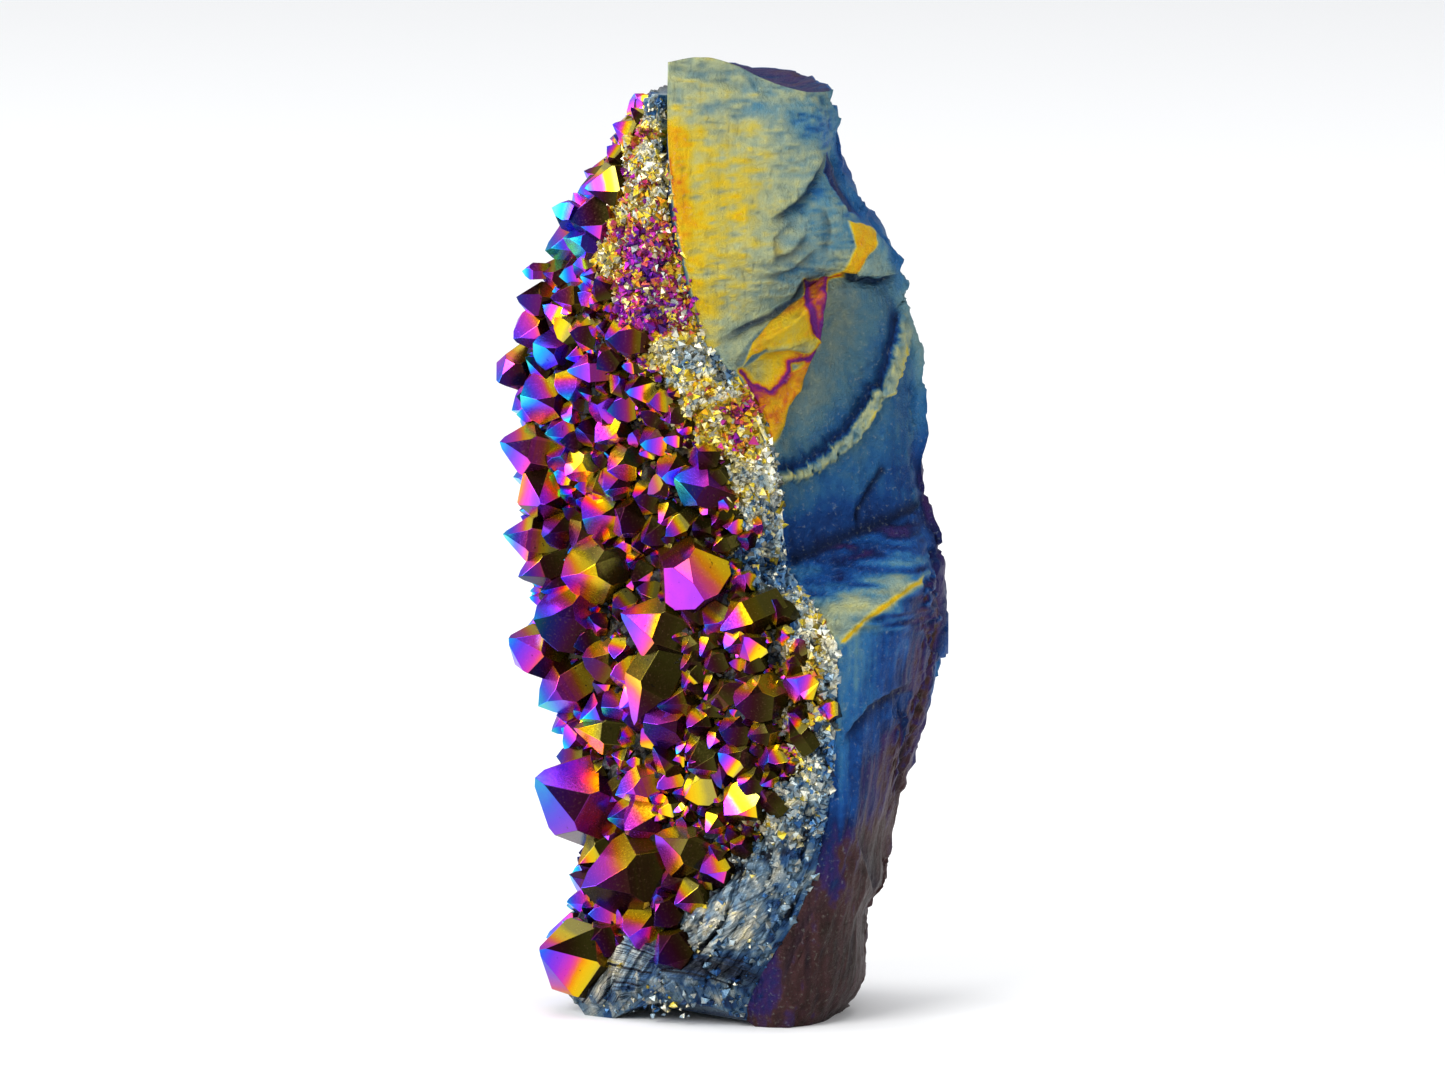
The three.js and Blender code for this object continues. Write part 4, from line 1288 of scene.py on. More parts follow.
# (height in view, x of the front border, depth there, x of the left side, depth there, bulge)
CRUST = np.array((
    (-5, 3, -21, -20, -12, 1.5), (0, 4, -22, -22, -11, 1.5), (6.3, 5, -23, -26.8, -9, 1.5),
    (12.2, 8.4, -24, -26.3, -6, 1.5), (18.2, 12.3, -25, -24.2, -3, 1.5),
    (26.5, 15.7, -25.5, -21.2, 0, 1.5), (38, 18.1, -26, -22.2, 2, 1.5),
    (47, 18.9, -26.3, -24.2, 3, 1.5), (56, 19.3, -26.8, -26.8, 4, 1.5),
    (65.5, 19.4, -27, -29.7, 4, 1.5), (72, 15, -20, -30.2, 4, 3.5), (78.2, 10.8, -13, -31, 4, 6),
    (90, 10, -13, -31.4, 4, 5.5), (100, 8.1, -14, -32.4, 4, 4.5), (109, 3.8, -15.8, -32.7, 4, 3),
    (116, -2.9, -16.6, -31, 3, 2), (124, -5.2, -16.4, -29.3, 2, 1), (132, -8.2, -16, -25.2, 0, 0.5),
    (142, -10, -15.5, -21.3, -3, 0.3), (150, -10.6, -15, -16.6, -6, 0.2),
    (158, -10.8, -14.5, -11.6, -9, 0),
))
LOW_CRUST = (34, 44)  # heights in view between which the low crust's folds give way to chips
# The grains' coating by place, as the rock's is.
GRAIN_WASHES = tuple(Wash(*row) for row in (
    (-11.5, 156.7, 2, 2, 0.36), (-14, 151.6, 2, 2, 0.84), (-12, 149, 1.6, 2.4, 0.55),
    (-16.6, 149, 2, 2, 0.62), (-11.5, 144, 1.4, 3, 0.66), (-15.7, 144, 2, 2, 0.74),
    (-18.5, 143, 2, 3, 0.88), (-12.3, 139, 1.6, 2.4, 0.66), (-16.6, 138.4, 2.4, 2, 0.55),
    (-10.6, 135.5, 1.5, 2, 0.78), (-14.9, 134.6, 2.4, 2, 0.88), (-14, 130.4, 2.4, 3, 0.93),
    (-9.8, 130.4, 1.4, 3, 0.84), (-19, 129.5, 2.4, 2, 0.62), (-17.4, 125.3, 2.4, 3, 0.92),
    (-11.5, 124.4, 3, 3, 0.92), (-7.2, 125, 1.3, 3, 0.74), (-14, 119.3, 3, 2.4, 0.95),
    (-6.6, 120.2, 1.8, 2.4, 0.86), (-5.5, 116, 2, 1.6, 0.52), (-10.6, 115.6, 3, 1.6, 0.56),
    (-14, 112.4, 3, 2, 0.84), (-5, 112.6, 3, 1.3, 0.40), (-3.8, 108.6, 2.4, 2, 0.60),
    (-7.6, 107.2, 3, 2, 0.64), (1, 109.6, 2, 2, 0.48), (3, 105, 1.5, 3, 0.86),
    (3.4, 99.4, 1.5, 3, 0.78), (-3.8, 99.8, 4, 5, 0.66), (6.4, 94.7, 2, 4, 0.50),
    (0, 93, 4, 4, 0.56), (7.4, 88, 2.4, 3, 0.44), (8.9, 82, 2, 3, 0.38),
    (3, 79.4, 3, 3, 0.28), (6.6, 76.4, 3, 2, 0.26), (13, 72.8, 2, 2, 0.42),
    (16.6, 69, 1.6, 2, 0.48), (12.4, 67, 3, 2, 0.46), (17.6, 65.4, 1.4, 1.6, 0.58),
    (14.6, 62.6, 2, 2, 0.62), (18.3, 58, 1, 7, 0.42), (15.4, 56.6, 1.8, 4, 0.60),
    (13, 50.5, 2, 3, 0.61), (17.4, 48, 1.2, 6, 0.36), (11.6, 45.4, 2, 2, 0.68),
    (15, 43, 1.6, 3, 0.42), (13, 38.6, 2.4, 3, 0.39), (17, 37, 1.2, 6, 0.29),
    (9.6, 35.4, 2.4, 3, 0.40), (12.6, 31, 2.4, 2.6, 0.36), (7.6, 28.6, 3, 2.4, 0.38),
    (15.4, 29.6, 1.3, 4, 0.26), (11.5, 22, 2, 4, 0.30), (4.6, 21.6, 4, 3, 0.42),
    (-1, 23.4, 3, 2, 0.45), (6, 15, 3, 2, 0.40), (9.6, 16.4, 1.6, 3, 0.20),
    (-3.8, 14.6, 4, 2, 0.46), (3, 10.4, 3, 1.4, 0.18), (-4, 10, 4, 2, 0.28),
    (-12.3, 10.6, 4, 3, 0.36), (6.4, 6, 2.4, 3, 0.28), (-4, 4.4, 5, 2, 0.32),
    (-14, 4, 5, 2.4, 0.34), (-20.8, 12, 3, 4, 0.58), (-22.5, 4.4, 3, 3, 0.41),
))


@dataclass(frozen=True)
class Zoned:
    """A broken face of quartz with growth lines, in the front view."""

    outline: tuple[tuple[float, float], ...]
    centre: tuple[float, float]
    ways: tuple[float, ...]  # which ways the lines face, in degrees: two make them chevrons
    lift: float = 0.0
    clear: float = 1.0  # how clearly they show


ZONED = (
    Zoned(((-27.1, 7.1), (-25.1, 13.1), (-20.3, 18.2), (-15.7, 16), (-9.8, 13.4), (-11.8, 7.1),
           (-14, 4), (-24, 3.6)), (-17, 3), (145, 65), 0.5, 1),
    Zoned(((-10.6, 11.6), (-4, 12.4), (4.5, 11.4), (6.6, 8), (3.8, 6), (-3.8, 5.4), (-11, 6.2)),
          (0, 0), (82,), 0.2, 0.6),
    Zoned(((-25, 3.4), (-14, 4), (-10, 6), (-3.8, 5.2), (3, 5.6), (3, -2), (-25, -2)),
          (-10, 0), (125, 20), 0, 0.35),
    Zoned(((-10, 13.6), (-5, 20), (1, 25.4), (7, 27), (10, 22), (8.6, 14.4), (3, 12.6)),
          (0, 0), (118,), 0.3, 0.35),
)
# The druse's edge towards the rock, as (height in view, x): past it the crust is broken grains.
DRUSE_EDGE = np.array((
    (15, -8), (30, 1), (45, 8), (59, 9), (66, 2), (76, -1), (93, -6), (117, -16), (132, -22),
    (142, -19), (150, -15), (158, -11.4),
))
# Where the smaller points between end, in the same way.
BARE_EDGE = np.array((
    (0, -27), (10, -23), (17, -14), (22, -8), (27, -1), (33, 4), (40, 9), (50, 11.5), (60, 12.8),
    (68, 10.5), (73, 5), (78, 1), (84, 3), (90, 0), (97, -3), (104, -8), (110, -13), (117, -17),
    (125, -20), (132, -23), (142, -20.6), (150, -16.2), (158, -11.6),
))


@dataclass
class Crust:
    """The sheet over the rock's left side: its front, its hidden side, and the points' places."""

    bulge_end: float = 0.6
    curl: float = 1.9
    foot: float = 3.0  # the height in view at which its depth by the ground is read
    top: float = 158.0
    rows: int = 300
    front_columns: int = 130
    side_columns: int = 60

    @staticmethod
    def rails(v: Array) -> list[Array]:
        """The border's and the left side's places at heights of the view, and the bulge."""
        return [np.interp(v, CRUST[:, 0], CRUST[:, i]) for i in range(1, 6)]

    def front(self, share: Array, v: Array) -> Array:
        """Points of the front: straight across, and in depth a power of the share less a half sine.

        Args:
            share: 0 at the rock's edge, 1 at the left side.
            v: Heights in the view.

        Returns:
            The points.
        """
        share, v = np.broadcast_arrays(np.asarray(share, float), np.asarray(v, float))
        x0, y0, x1, y1, bulge = self.rails(v)
        swell = bulge * np.sin(np.pi * np.minimum(1, share / self.bulge_end))
        y = y0 + (y1 - y0) * np.maximum(share, 0) ** self.curl - swell
        return VIEW.seen(x0 + (x1 - x0) * share, y, v)

    def under(self, x: Array, v: Array) -> Array:
        """Where places of the front view lie on the crust, or past its sides on its edge.

        Args:
            x: Places across.
            v: Places up.

        Returns:
            The points.
        """
        x0, _, x1, _, _ = self.rails(np.asarray(v, float))
        found = self.front(np.clip((x - x0) / (x1 - x0), 0, 1), v)
        found[..., 0] = x
        return found

    def side(self, share: Array, v: Array) -> Array:
        """Points of the hidden side: a parabola at each height.

        Args:
            share: 0 at the left side, 1 at the border behind.
            v: Heights in the view.

        Returns:
            The points.
        """
        share, v = np.broadcast_arrays(np.asarray(share, float), np.asarray(v, float))
        left, share = self.front(1, v), share[..., None]
        knots = np.array(BACK_RAILS[-1])
        border = left.copy()
        border[..., 0] = np.interp(left[..., 2], knots[:, 0], knots[:, 1])
        border[..., 1] = np.interp(left[..., 2], knots[:, 0], knots[:, 2])
        bend = left.copy()
        bend[..., 0] -= 0.5
        bend[..., 1] += 0.75 * (border[..., 1] - left[..., 1])
        return left * (1 - share) ** 2 + bend * 2 * share * (1 - share) + border * share**2

    def heights(self, share: float | Array, rise: Array) -> Array:
        """Heights in view from the front's foot on the ground (rise 0) to its top (rise 1)."""
        foot = (self.front(share, self.foot)[..., 1] - VIEW.front) * VIEW.sin
        return foot + (self.top - foot) * rise

    def place(self, way: Array, v: Array, edge: Array = DRUSE_EDGE) -> Array:
        """Places round the druse.

        Args:
            way: 0 at its edge on the front, 1 at the left side, 2 at the back.
            v: Heights in the view.
            edge: That edge, as (height in view, x).

        Returns:
            The places.
        """
        way, v = np.broadcast_arrays(np.asarray(way, float), np.asarray(v, float))
        x0, _, x1, _, _ = self.rails(v)
        start = (np.interp(v, edge[:, 0], edge[:, 1]) - x0) / (x1 - x0)
        ahead = self.front(start + (1 - start) * np.minimum(way, 1), v)
        return np.where((way > 1)[..., None], self.side(np.maximum(way - 1, 0), v), ahead)

    def out(self, way: Array, v: Array, edge: Array = DRUSE_EDGE) -> Array:
        """The way out of the druse: up it, crossed with along it.

        Args:
            way: How far round it, as for `place`.
            v: Heights in the view.
            edge: Its edge on the front.

        Returns:
            Vectors of length 1.
        """
        way, v = np.asarray(way), np.asarray(v)
        along = self.place(way + 0.02, v, edge) - self.place(way - 0.02, v, edge)
        up = self.place(way, v + 1.5, edge) - self.place(way, v - 1.5, edge)
        return unit(np.cross(up, along))

    def front_out(self, share: Array, v: Array) -> Array:
        """The way out of the front: up it, crossed with along it to the left."""
        along = self.front(share + 0.02, v) - self.front(share - 0.02, v)
        return unit(np.cross(self.front(share, v + 1.5) - self.front(share, v - 1.5), along))

    def surface(self) -> Surface:
        """The crust itself, broken to grains, with painted shade where the points stand and in its
        hollows.

        Returns:
            A closed surface with `film` and `shade` on its points.
        """
        rise = np.linspace(0, 1, self.rows)[:, None]
        even = np.ones_like(rise)
        front_share = np.linspace(1, 0, self.front_columns) * even
        side_share = np.linspace(1, 0, self.side_columns, endpoint=False) * even
        front = self.front(front_share, self.heights(front_share, rise))
        side = self.side(side_share, self.heights(1, rise))
        z = side[:, 0, 2]
        seam = []
        for rail, shift in zip(reversed(SEAM_RAILS), ((3, 3), (3, 0))):
            knots = np.array(rail)
            x, y = (np.interp(z, knots[:, 0], knots[:, i]) + shift[i - 1] for i in (1, 2))
            seam.append(np.stack([x, y, z], axis=-1)[:, None])
        rows = np.concatenate([side, front, *seam], axis=1)
        rows[0, :, 2] = 0
        inner = np.zeros(rows.shape[:2])
        inner[:, : side.shape[1] + front.shape[1]] = 1
        inner[:, side.shape[1] + front.shape[1] - 4 : side.shape[1] + front.shape[1]] = 0.25
        inner[:, :3] = 0.2
        growth, zoned, _ = zoning(rows)
        rough = self.lumps(rows) * inner * np.clip(rise * 30, 0, 1)
        places, faces = closed_grid(arched(rows + grid_normals(rows) * rough[..., None]))
        film, dark = grain_film(rows)
        low = 1 - step_up(VIEW.up_of(rows), *LOW_CRUST)
        film = film + 0.1 * low * self.folds(rows) - 0.04 * low
        # Painted shade in the lumps' hollows; the low crust is also darker in its own colour.
        pits = np.clip(-rough * 0.9 - 0.1, 0, 1) * (1 - 0.5 * zoned) + low * 0.3
        # Painted shade in the hollow below the low lip, and where the points stand (`dark`).
        hollow = np.exp(-(((rows[..., 0] + 2) / 9) ** 2) - ((VIEW.up_of(rows) - 9) / 3) ** 2)
        shade = np.clip(np.maximum(dark, pits) + low * (0.32 + 0.4 * hollow), 0, 1)
        named = {"film": film, "shade": shade, "growth": growth, "zoned": zoned}
        values = {name: with_poles(numbers) for name, numbers in named.items()}
        return Surface("crust_skin", places, faces, point_values=values)

    def lumps(self, places: Array) -> Array:
        """The crust's relief: lumps and chips, or low down long folds.

        Args:
            places: Points on the crust.

        Returns:
            Millimetres out.
        """
        _, zoned, lift = zoning(places)
        low = 1 - step_up(VIEW.up_of(places), *LOW_CRUST)
        rough = layered(places, 5, 2, 201)
        rough += chipped(places, 2.9, 202) * 1.1 + chipped(places, 1.2, 203) * 0.35
        return rough * (1 - 0.6 * low) * (1 - 0.7 * zoned) + low * self.folds(places) + lift

    def folds(self, places: Array) -> Array:
        """Long folds beside the rock's edge: chips and noise drawn out along it.

        Args:
            places: Points on the crust.

        Returns:
            Millimetres out.
        """
        v = VIEW.up_of(places)
        beside = places[..., 0] - self.rails(v)[0]
        drawn = np.stack([beside, 0 * beside, v * 0.22], axis=-1)
        return 0.55 * chipped(drawn, 1.9, 221) + 0.35 * noise(drawn, 0.9, 222)


def past_edge(places: Array) -> Array:
    """How far places are past the druse's edge towards the rock, in millimetres."""
    v = VIEW.up_of(places)
    return places[..., 0] - np.interp(v, BARE_EDGE[:, 0], BARE_EDGE[:, 1])


def zoning(places: Array) -> tuple[Array, Array, Array]:
    """Growth lines on the broken quartz: how far out each place grew, where they show, and a lift.

    Args:
        places: Points on the crust.

    Returns:
        The distance that the lines follow, a mask from 0 to 1, and millimetres out.
    """
    x, v = places[..., 0], VIEW.up_of(places)
    front = step_up(-places[..., 1], 4, 10)
    growth, mask, lift = np.zeros(x.shape), np.zeros(x.shape), np.zeros(x.shape)
    for zone in ZONED:
        inside = step_up(depth_inside(x, v, zone.outline), 0, 0.5) * front
        angles = np.radians(np.array(zone.ways))[:, None, None]
        along = (x - zone.centre[0]) * np.cos(angles) + (v - zone.centre[1]) * np.sin(angles)
        out = along.max(axis=0) + 0.12 * noise(places, 1.6, 231)
        growth = np.where(inside * zone.clear > mask, out, growth)
        lift = lift + zone.lift * inside
        mask = np.maximum(mask, inside * zone.clear)
    return growth, mask, lift


def grain_film(places: Array) -> tuple[Array, Array]:
    """The grains' coating by place, and painted shade where the points stand.

    Args:
        places: Points on the crust.

    Returns:
        The coating's thickness and a share of painted shade, both from 0 to 1.
    """
    x, v = places[..., 0], VIEW.up_of(places)
    drift = 1.2 * layered(places, 4, 2, 210)
    plain = 0.5 + 0.3 * layered(places, 12, 2, 213)
    film = blend_washes(GRAIN_WASHES, x + drift, v + drift, plain, 0.002)
    film = film + 0.09 * layered(places, 3, 2, 211) + 0.17 * chipped(places, 2.2, 212)
    beyond = past_edge(places)
    front = step_up(-places[..., 1], -1, 8)
    # Painted shade: the crust under the druse, away from the bare front, goes dark.
    dark = 1 - front * step_up(beyond, -3, 1.5)
    return np.clip(film, 0, 1), 0.97 * dark


# ---- the points ----

RISE = 1.27  # a pyramid's height over the apothem of its base
FILLER_APOTHEM = 0.866  # of a smaller point, over its radius


@dataclass
class Points:
    """A set of quartz points, one to each row of the arrays.

    A point has three large and three small pyramid faces, each pair over its own face of a
    six-sided shaft.
    """

    base: Array  # middle of the pyramid's base
    axis: Array
    reach: Array  # from the base to the tip
    radius: Array  # to the corners of the base
    facing: Array  # the way that the bright face looks
    film: Array  # the coating at the root and at the tip
    lit_bias: Array  # how easily the other faces get painted light
    small: Array  # how far the small faces are set out, over the apothem
    bright: Array  # how lit the bright face is
    lead: Array  # which of the three large faces that is
    root: float = 1.7  # the shaft's length over the radius

    @staticmethod
    def joined(sets: Sequence[Points]) -> Points:
        """Puts several sets in one."""
        names = (
            "base", "axis", "reach", "radius", "facing", "film", "lit_bias", "small", "bright", "lead",
        )
        return Points(*(np.concatenate([getattr(one, name) for one in sets]) for name in names))

    def frames(self) -> tuple[Array, Array, Array]:
        """Each point's own axes: towards its bright face, across it, and to its tip."""
        out = unit(self.facing - self.axis * np.sum(self.facing * self.axis, -1, keepdims=True))
        return out, np.cross(self.axis, out), self.axis

    def corners(self) -> Array:
        """The 22 corners of each point: tip, 3 upper, 6 middle, 6 of the base and 6 of the root.

        Large faces are the planes n.p + h/k = 1 and small ones n.p + h/k = 1 + d, in units of
        the apothem, with n at whole sixths of a turn; the shaft's faces are n.p = 1.

        Returns:
            Places as (point, corner, 3).
        """
        count = len(self.radius)
        d = self.small[:, None]
        turn = np.radians(60 * np.array([1, 3, 5]))
        n = np.stack([np.cos(turn), np.sin(turn)], -1)
        across = np.stack([-np.sin(turn), np.cos(turn)], -1)
        slide = ((0.5 - d) / COS_30)[..., None]
        upper = n * (2 * d)[..., None]
        middle = np.stack([n - across * slide, n + across * slide], axis=2).reshape(count, 6, 2)
        edge = np.radians(30 + 60 * np.arange(6))
        ring = np.stack([np.cos(edge), np.sin(edge)], -1) / COS_30
        flat = np.concatenate([
            np.zeros((count, 1, 2)), upper, middle,
            np.broadcast_to(ring, (count, 6, 2)), np.broadcast_to(ring * 0.92, (count, 6, 2)),
        ], axis=1)
        height = np.concatenate([
            np.ones((count, 1)), np.repeat(1 - d, 3, 1), np.repeat(d, 6, 1), np.zeros((count, 6)),
        ], axis=1) * self.reach[:, None]
        foot = np.repeat(-self.root * self.radius[:, None], 6, 1)
        height = np.concatenate([height, foot], axis=1)
        apothem = (self.radius * COS_30)[:, None, None]
        local = np.concatenate([flat * apothem, height[..., None]], axis=-1)
        basis = np.stack(self.frames(), axis=1)
        return self.base[:, None] + np.einsum("nkc,ncx->nkx", local, basis)

    @staticmethod
    def face_table() -> list[Array]:
        """The corners of the faces.

        Returns:
            Three faces of each kind: large, small, and the shaft's plain and cut ones.
        """
        large, small, plain, cut = [], [], [], []
        for i in (0, 2, 4):
            before, after = (i - 1) % 6, i
            left, right = ((i - 1) % 6) // 2, i // 2
            large.append(
                [10 + before, 10 + after, 4 + 2 * right, 1 + right, 0, 1 + left, 5 + 2 * left]
            )
            plain.append([16 + before, 16 + after, 10 + after, 10 + before])
        for k, j in enumerate((1, 3, 5)):
            small.append([4 + 2 * k, 5 + 2 * k, 1 + k])
            cut.append([16 + j - 1, 16 + j, 10 + j, 5 + 2 * k, 4 + 2 * k, 10 + j - 1])
        return [np.array(kind) for kind in (large, small, plain, cut)]

    def surface(self, name: str, draw: np.random.Generator) -> Surface:
        """Builds all points in one mesh, each face with a narrow bevel round it.

        Args:
            name: The mesh's name.
            draw: Draws for the differences between faces.

        Returns:
            A surface of closed points, with `film`, `lit`, `stripes` and `pitted` on its corners.
        """
        corners = self.corners()
        count = len(corners)
        centre = self.base + self.axis * (0.3 * self.reach[:, None])
        bevel = np.clip(self.radius * 0.02, 0.03, 0.08)[:, None, None, None]
        wear_and_painted_shade = 0.45 * bevel[:, :, :, 0] / self.radius[:, None, None]
        worn = corners + (centre[:, None] - corners) * wear_and_painted_shade
        places, faces, maps = [worn.reshape(-1, 3)], [], []
        values: dict[str, list[Array]] = {"film": [], "lit": [], "stripes": [], "pitted": []}
        start = worn.shape[0] * worn.shape[1]
        owner = np.arange(count)
        for kind, table in enumerate(self.face_table()):
            size = table.shape[1]
            ring = corners[:, table]
            first, second = ring[:, :, 1] - ring[:, :, 0], ring[:, :, 2] - ring[:, :, 1]
            normal = unit(np.cross(first, second))[:, :, None]
            ahead = unit(np.roll(ring, -1, axis=2) - ring)
            inward = np.cross(np.broadcast_to(normal, ahead.shape), ahead)
            before = np.roll(inward, 1, axis=2)
            grow = 1 + np.sum(inward * before, -1, keepdims=True)
            sides = np.linalg.norm(np.roll(ring, -1, axis=2) - ring, axis=-1, keepdims=True)
            short = sides.min(2, keepdims=True)
            narrow = np.minimum(bevel, 0.2 * short)
            inner = ring + (inward + before) / np.maximum(grow, 0.3) * narrow
            inner_id = start + np.arange(count * 3 * size).reshape(count, 3, size)
            start += inner_id.size
            places.append(inner.reshape(-1, 3))
            outer_id = owner[:, None, None] * corners.shape[1] + table[None]
            strips = np.stack(
                [outer_id, np.roll(outer_id, -1, 2), np.roll(inner_id, -1, 2), inner_id], axis=-1
            )
            outer = worn[:, table]
            edges = [outer, np.roll(outer, -1, 2), np.roll(inner, -1, 2), inner]
            edge_places = np.stack(edges, axis=3).reshape(count, 3, size * 4, 3)
            tone = self.tones(normal[:, :, 0], kind, draw)
            shift = draw.uniform(-0.07, 0.07, (count, 3))
            faces += [inner_id.reshape(-1, size), strips.reshape(-1, 4)]
            for spots, is_edge in ((inner, False), (edge_places, True)):
                film = self.film_at(spots, normal, kind) + shift[..., None]
                lit = np.broadcast_to(tone[..., None], film.shape)
                values["film"].append(film.ravel())
                values["lit"].append(lit.ravel())
                lined = 0.5 if kind > 1 else 0.05
                values["stripes"].append(np.full(film.size, 0 if is_edge else lined))
                near_root = np.clip(1 - self.share_up(spots) * 1.6, 0, 1)
                values["pitted"].append((near_root * (not is_edge)).ravel())
                maps.append(self.face_map(spots, normal).reshape(-1, 2))
        under = owner[:, None] * corners.shape[1] + np.arange(21, 15, -1)[None]
        faces.append(under)
        for numbers in values.values():
            numbers.append(np.zeros(under.size))
        maps.append(np.zeros((under.size, 2)))
        return Surface(
            name, np.concatenate(places), faces,
            corner_values={key: np.concatenate(numbers) for key, numbers in values.items()},
            face_map=np.concatenate(maps),
        )

    def share_up(self, spots: Array) -> Array:
        """How far spots of faces are up their points: 0 at the base, 1 at the tip."""
        up = np.einsum("nfkx,nx->nfk", spots - self.base[:, None, None], self.axis)
        return up / self.reach[:, None, None]

    def film_at(self, spots: Array, normal: Array, kind: int) -> Array:
        """The coating on spots of faces: thicker to the tip and to the left, thin on top.

        Args:
            spots: Places as (point, face, spot, 3).
            normal: The faces' normals.
            kind: 0 or 1 for a pyramid's faces, 2 or 3 for a shaft's.

        Returns:
            A thickness of about 0 to 1 for each spot.
        """
        root, tip = self.film[:, 0, None, None], self.film[:, 1, None, None]
        lateral = (self.base[:, None, None, 0] - spots[..., 0]) / self.radius[:, None, None]
        film = root + (tip - root) * (self.share_up(spots) * 1.05 - 0.12) + 0.15 * lateral
        lift = normal[..., 2]
        film = film - 0.34 * np.clip(lift - 0.25, 0, 1) + 0.12 * np.clip(-lift, 0, 1)
        if kind > 1:
            film = 0.2 + 0.5 * film + 0.4 * (self.film[:, 1, None, None] - 0.7)
        return film

    def tones(self, normal: Array, kind: int, draw: np.random.Generator) -> Array:
        """Which faces of each point get painted light: those that look left or up, and the bright
        one.

        Args:
            normal: The faces' normals.
            kind: 0 for large faces, 1 for small ones, 2 or 3 for a shaft's.
            draw: Draws for the differences between faces.

        Returns:
            A share from 0 to 1 for each face.
        """
        left = step_up(-normal[..., 0] + draw.uniform(-0.2, 0.2, normal.shape[:2]), 0.38, 0.62)
        up = step_up(normal[..., 2] + draw.uniform(-0.2, 0.2, normal.shape[:2]), 0.6, 0.8)
        tone = np.clip(np.maximum(left, 0.9 * up) + self.lit_bias[:, None], 0, 1)
        chance = draw.uniform(0, 1, tone.shape)
        turned = 0.08 + 0.3 * step_up(self.base[:, 1:2], -14, -4)
        tone = np.where(chance < turned, np.minimum(0.8, 1 - tone), tone)
        if kind == 0:
            tone = np.where(draw.uniform(0, 1, tone.shape) < 0.22, np.maximum(tone, 0.75), tone)
            tone[np.arange(len(tone)), self.lead] = self.bright
        elif kind > 1:
            tone = tone * 0.22
        return tone

    def face_map(self, spots: Array, normal: Array) -> Array:
        """Flat coordinates on each face.

        Args:
            spots: Places as (point, face, spot, 3).
            normal: The faces' normals.

        Returns:
            Millimetres across the face, then up it.
        """
        normal = np.broadcast_to(normal, spots.shape)
        across = unit(np.cross(np.broadcast_to(self.axis[:, None, None], spots.shape), normal))
        up = np.cross(normal, across)
        away = spots - self.base[:, None, None]
        return np.stack([np.sum(away * across, -1), np.sum(away * up, -1)], -1) + 100


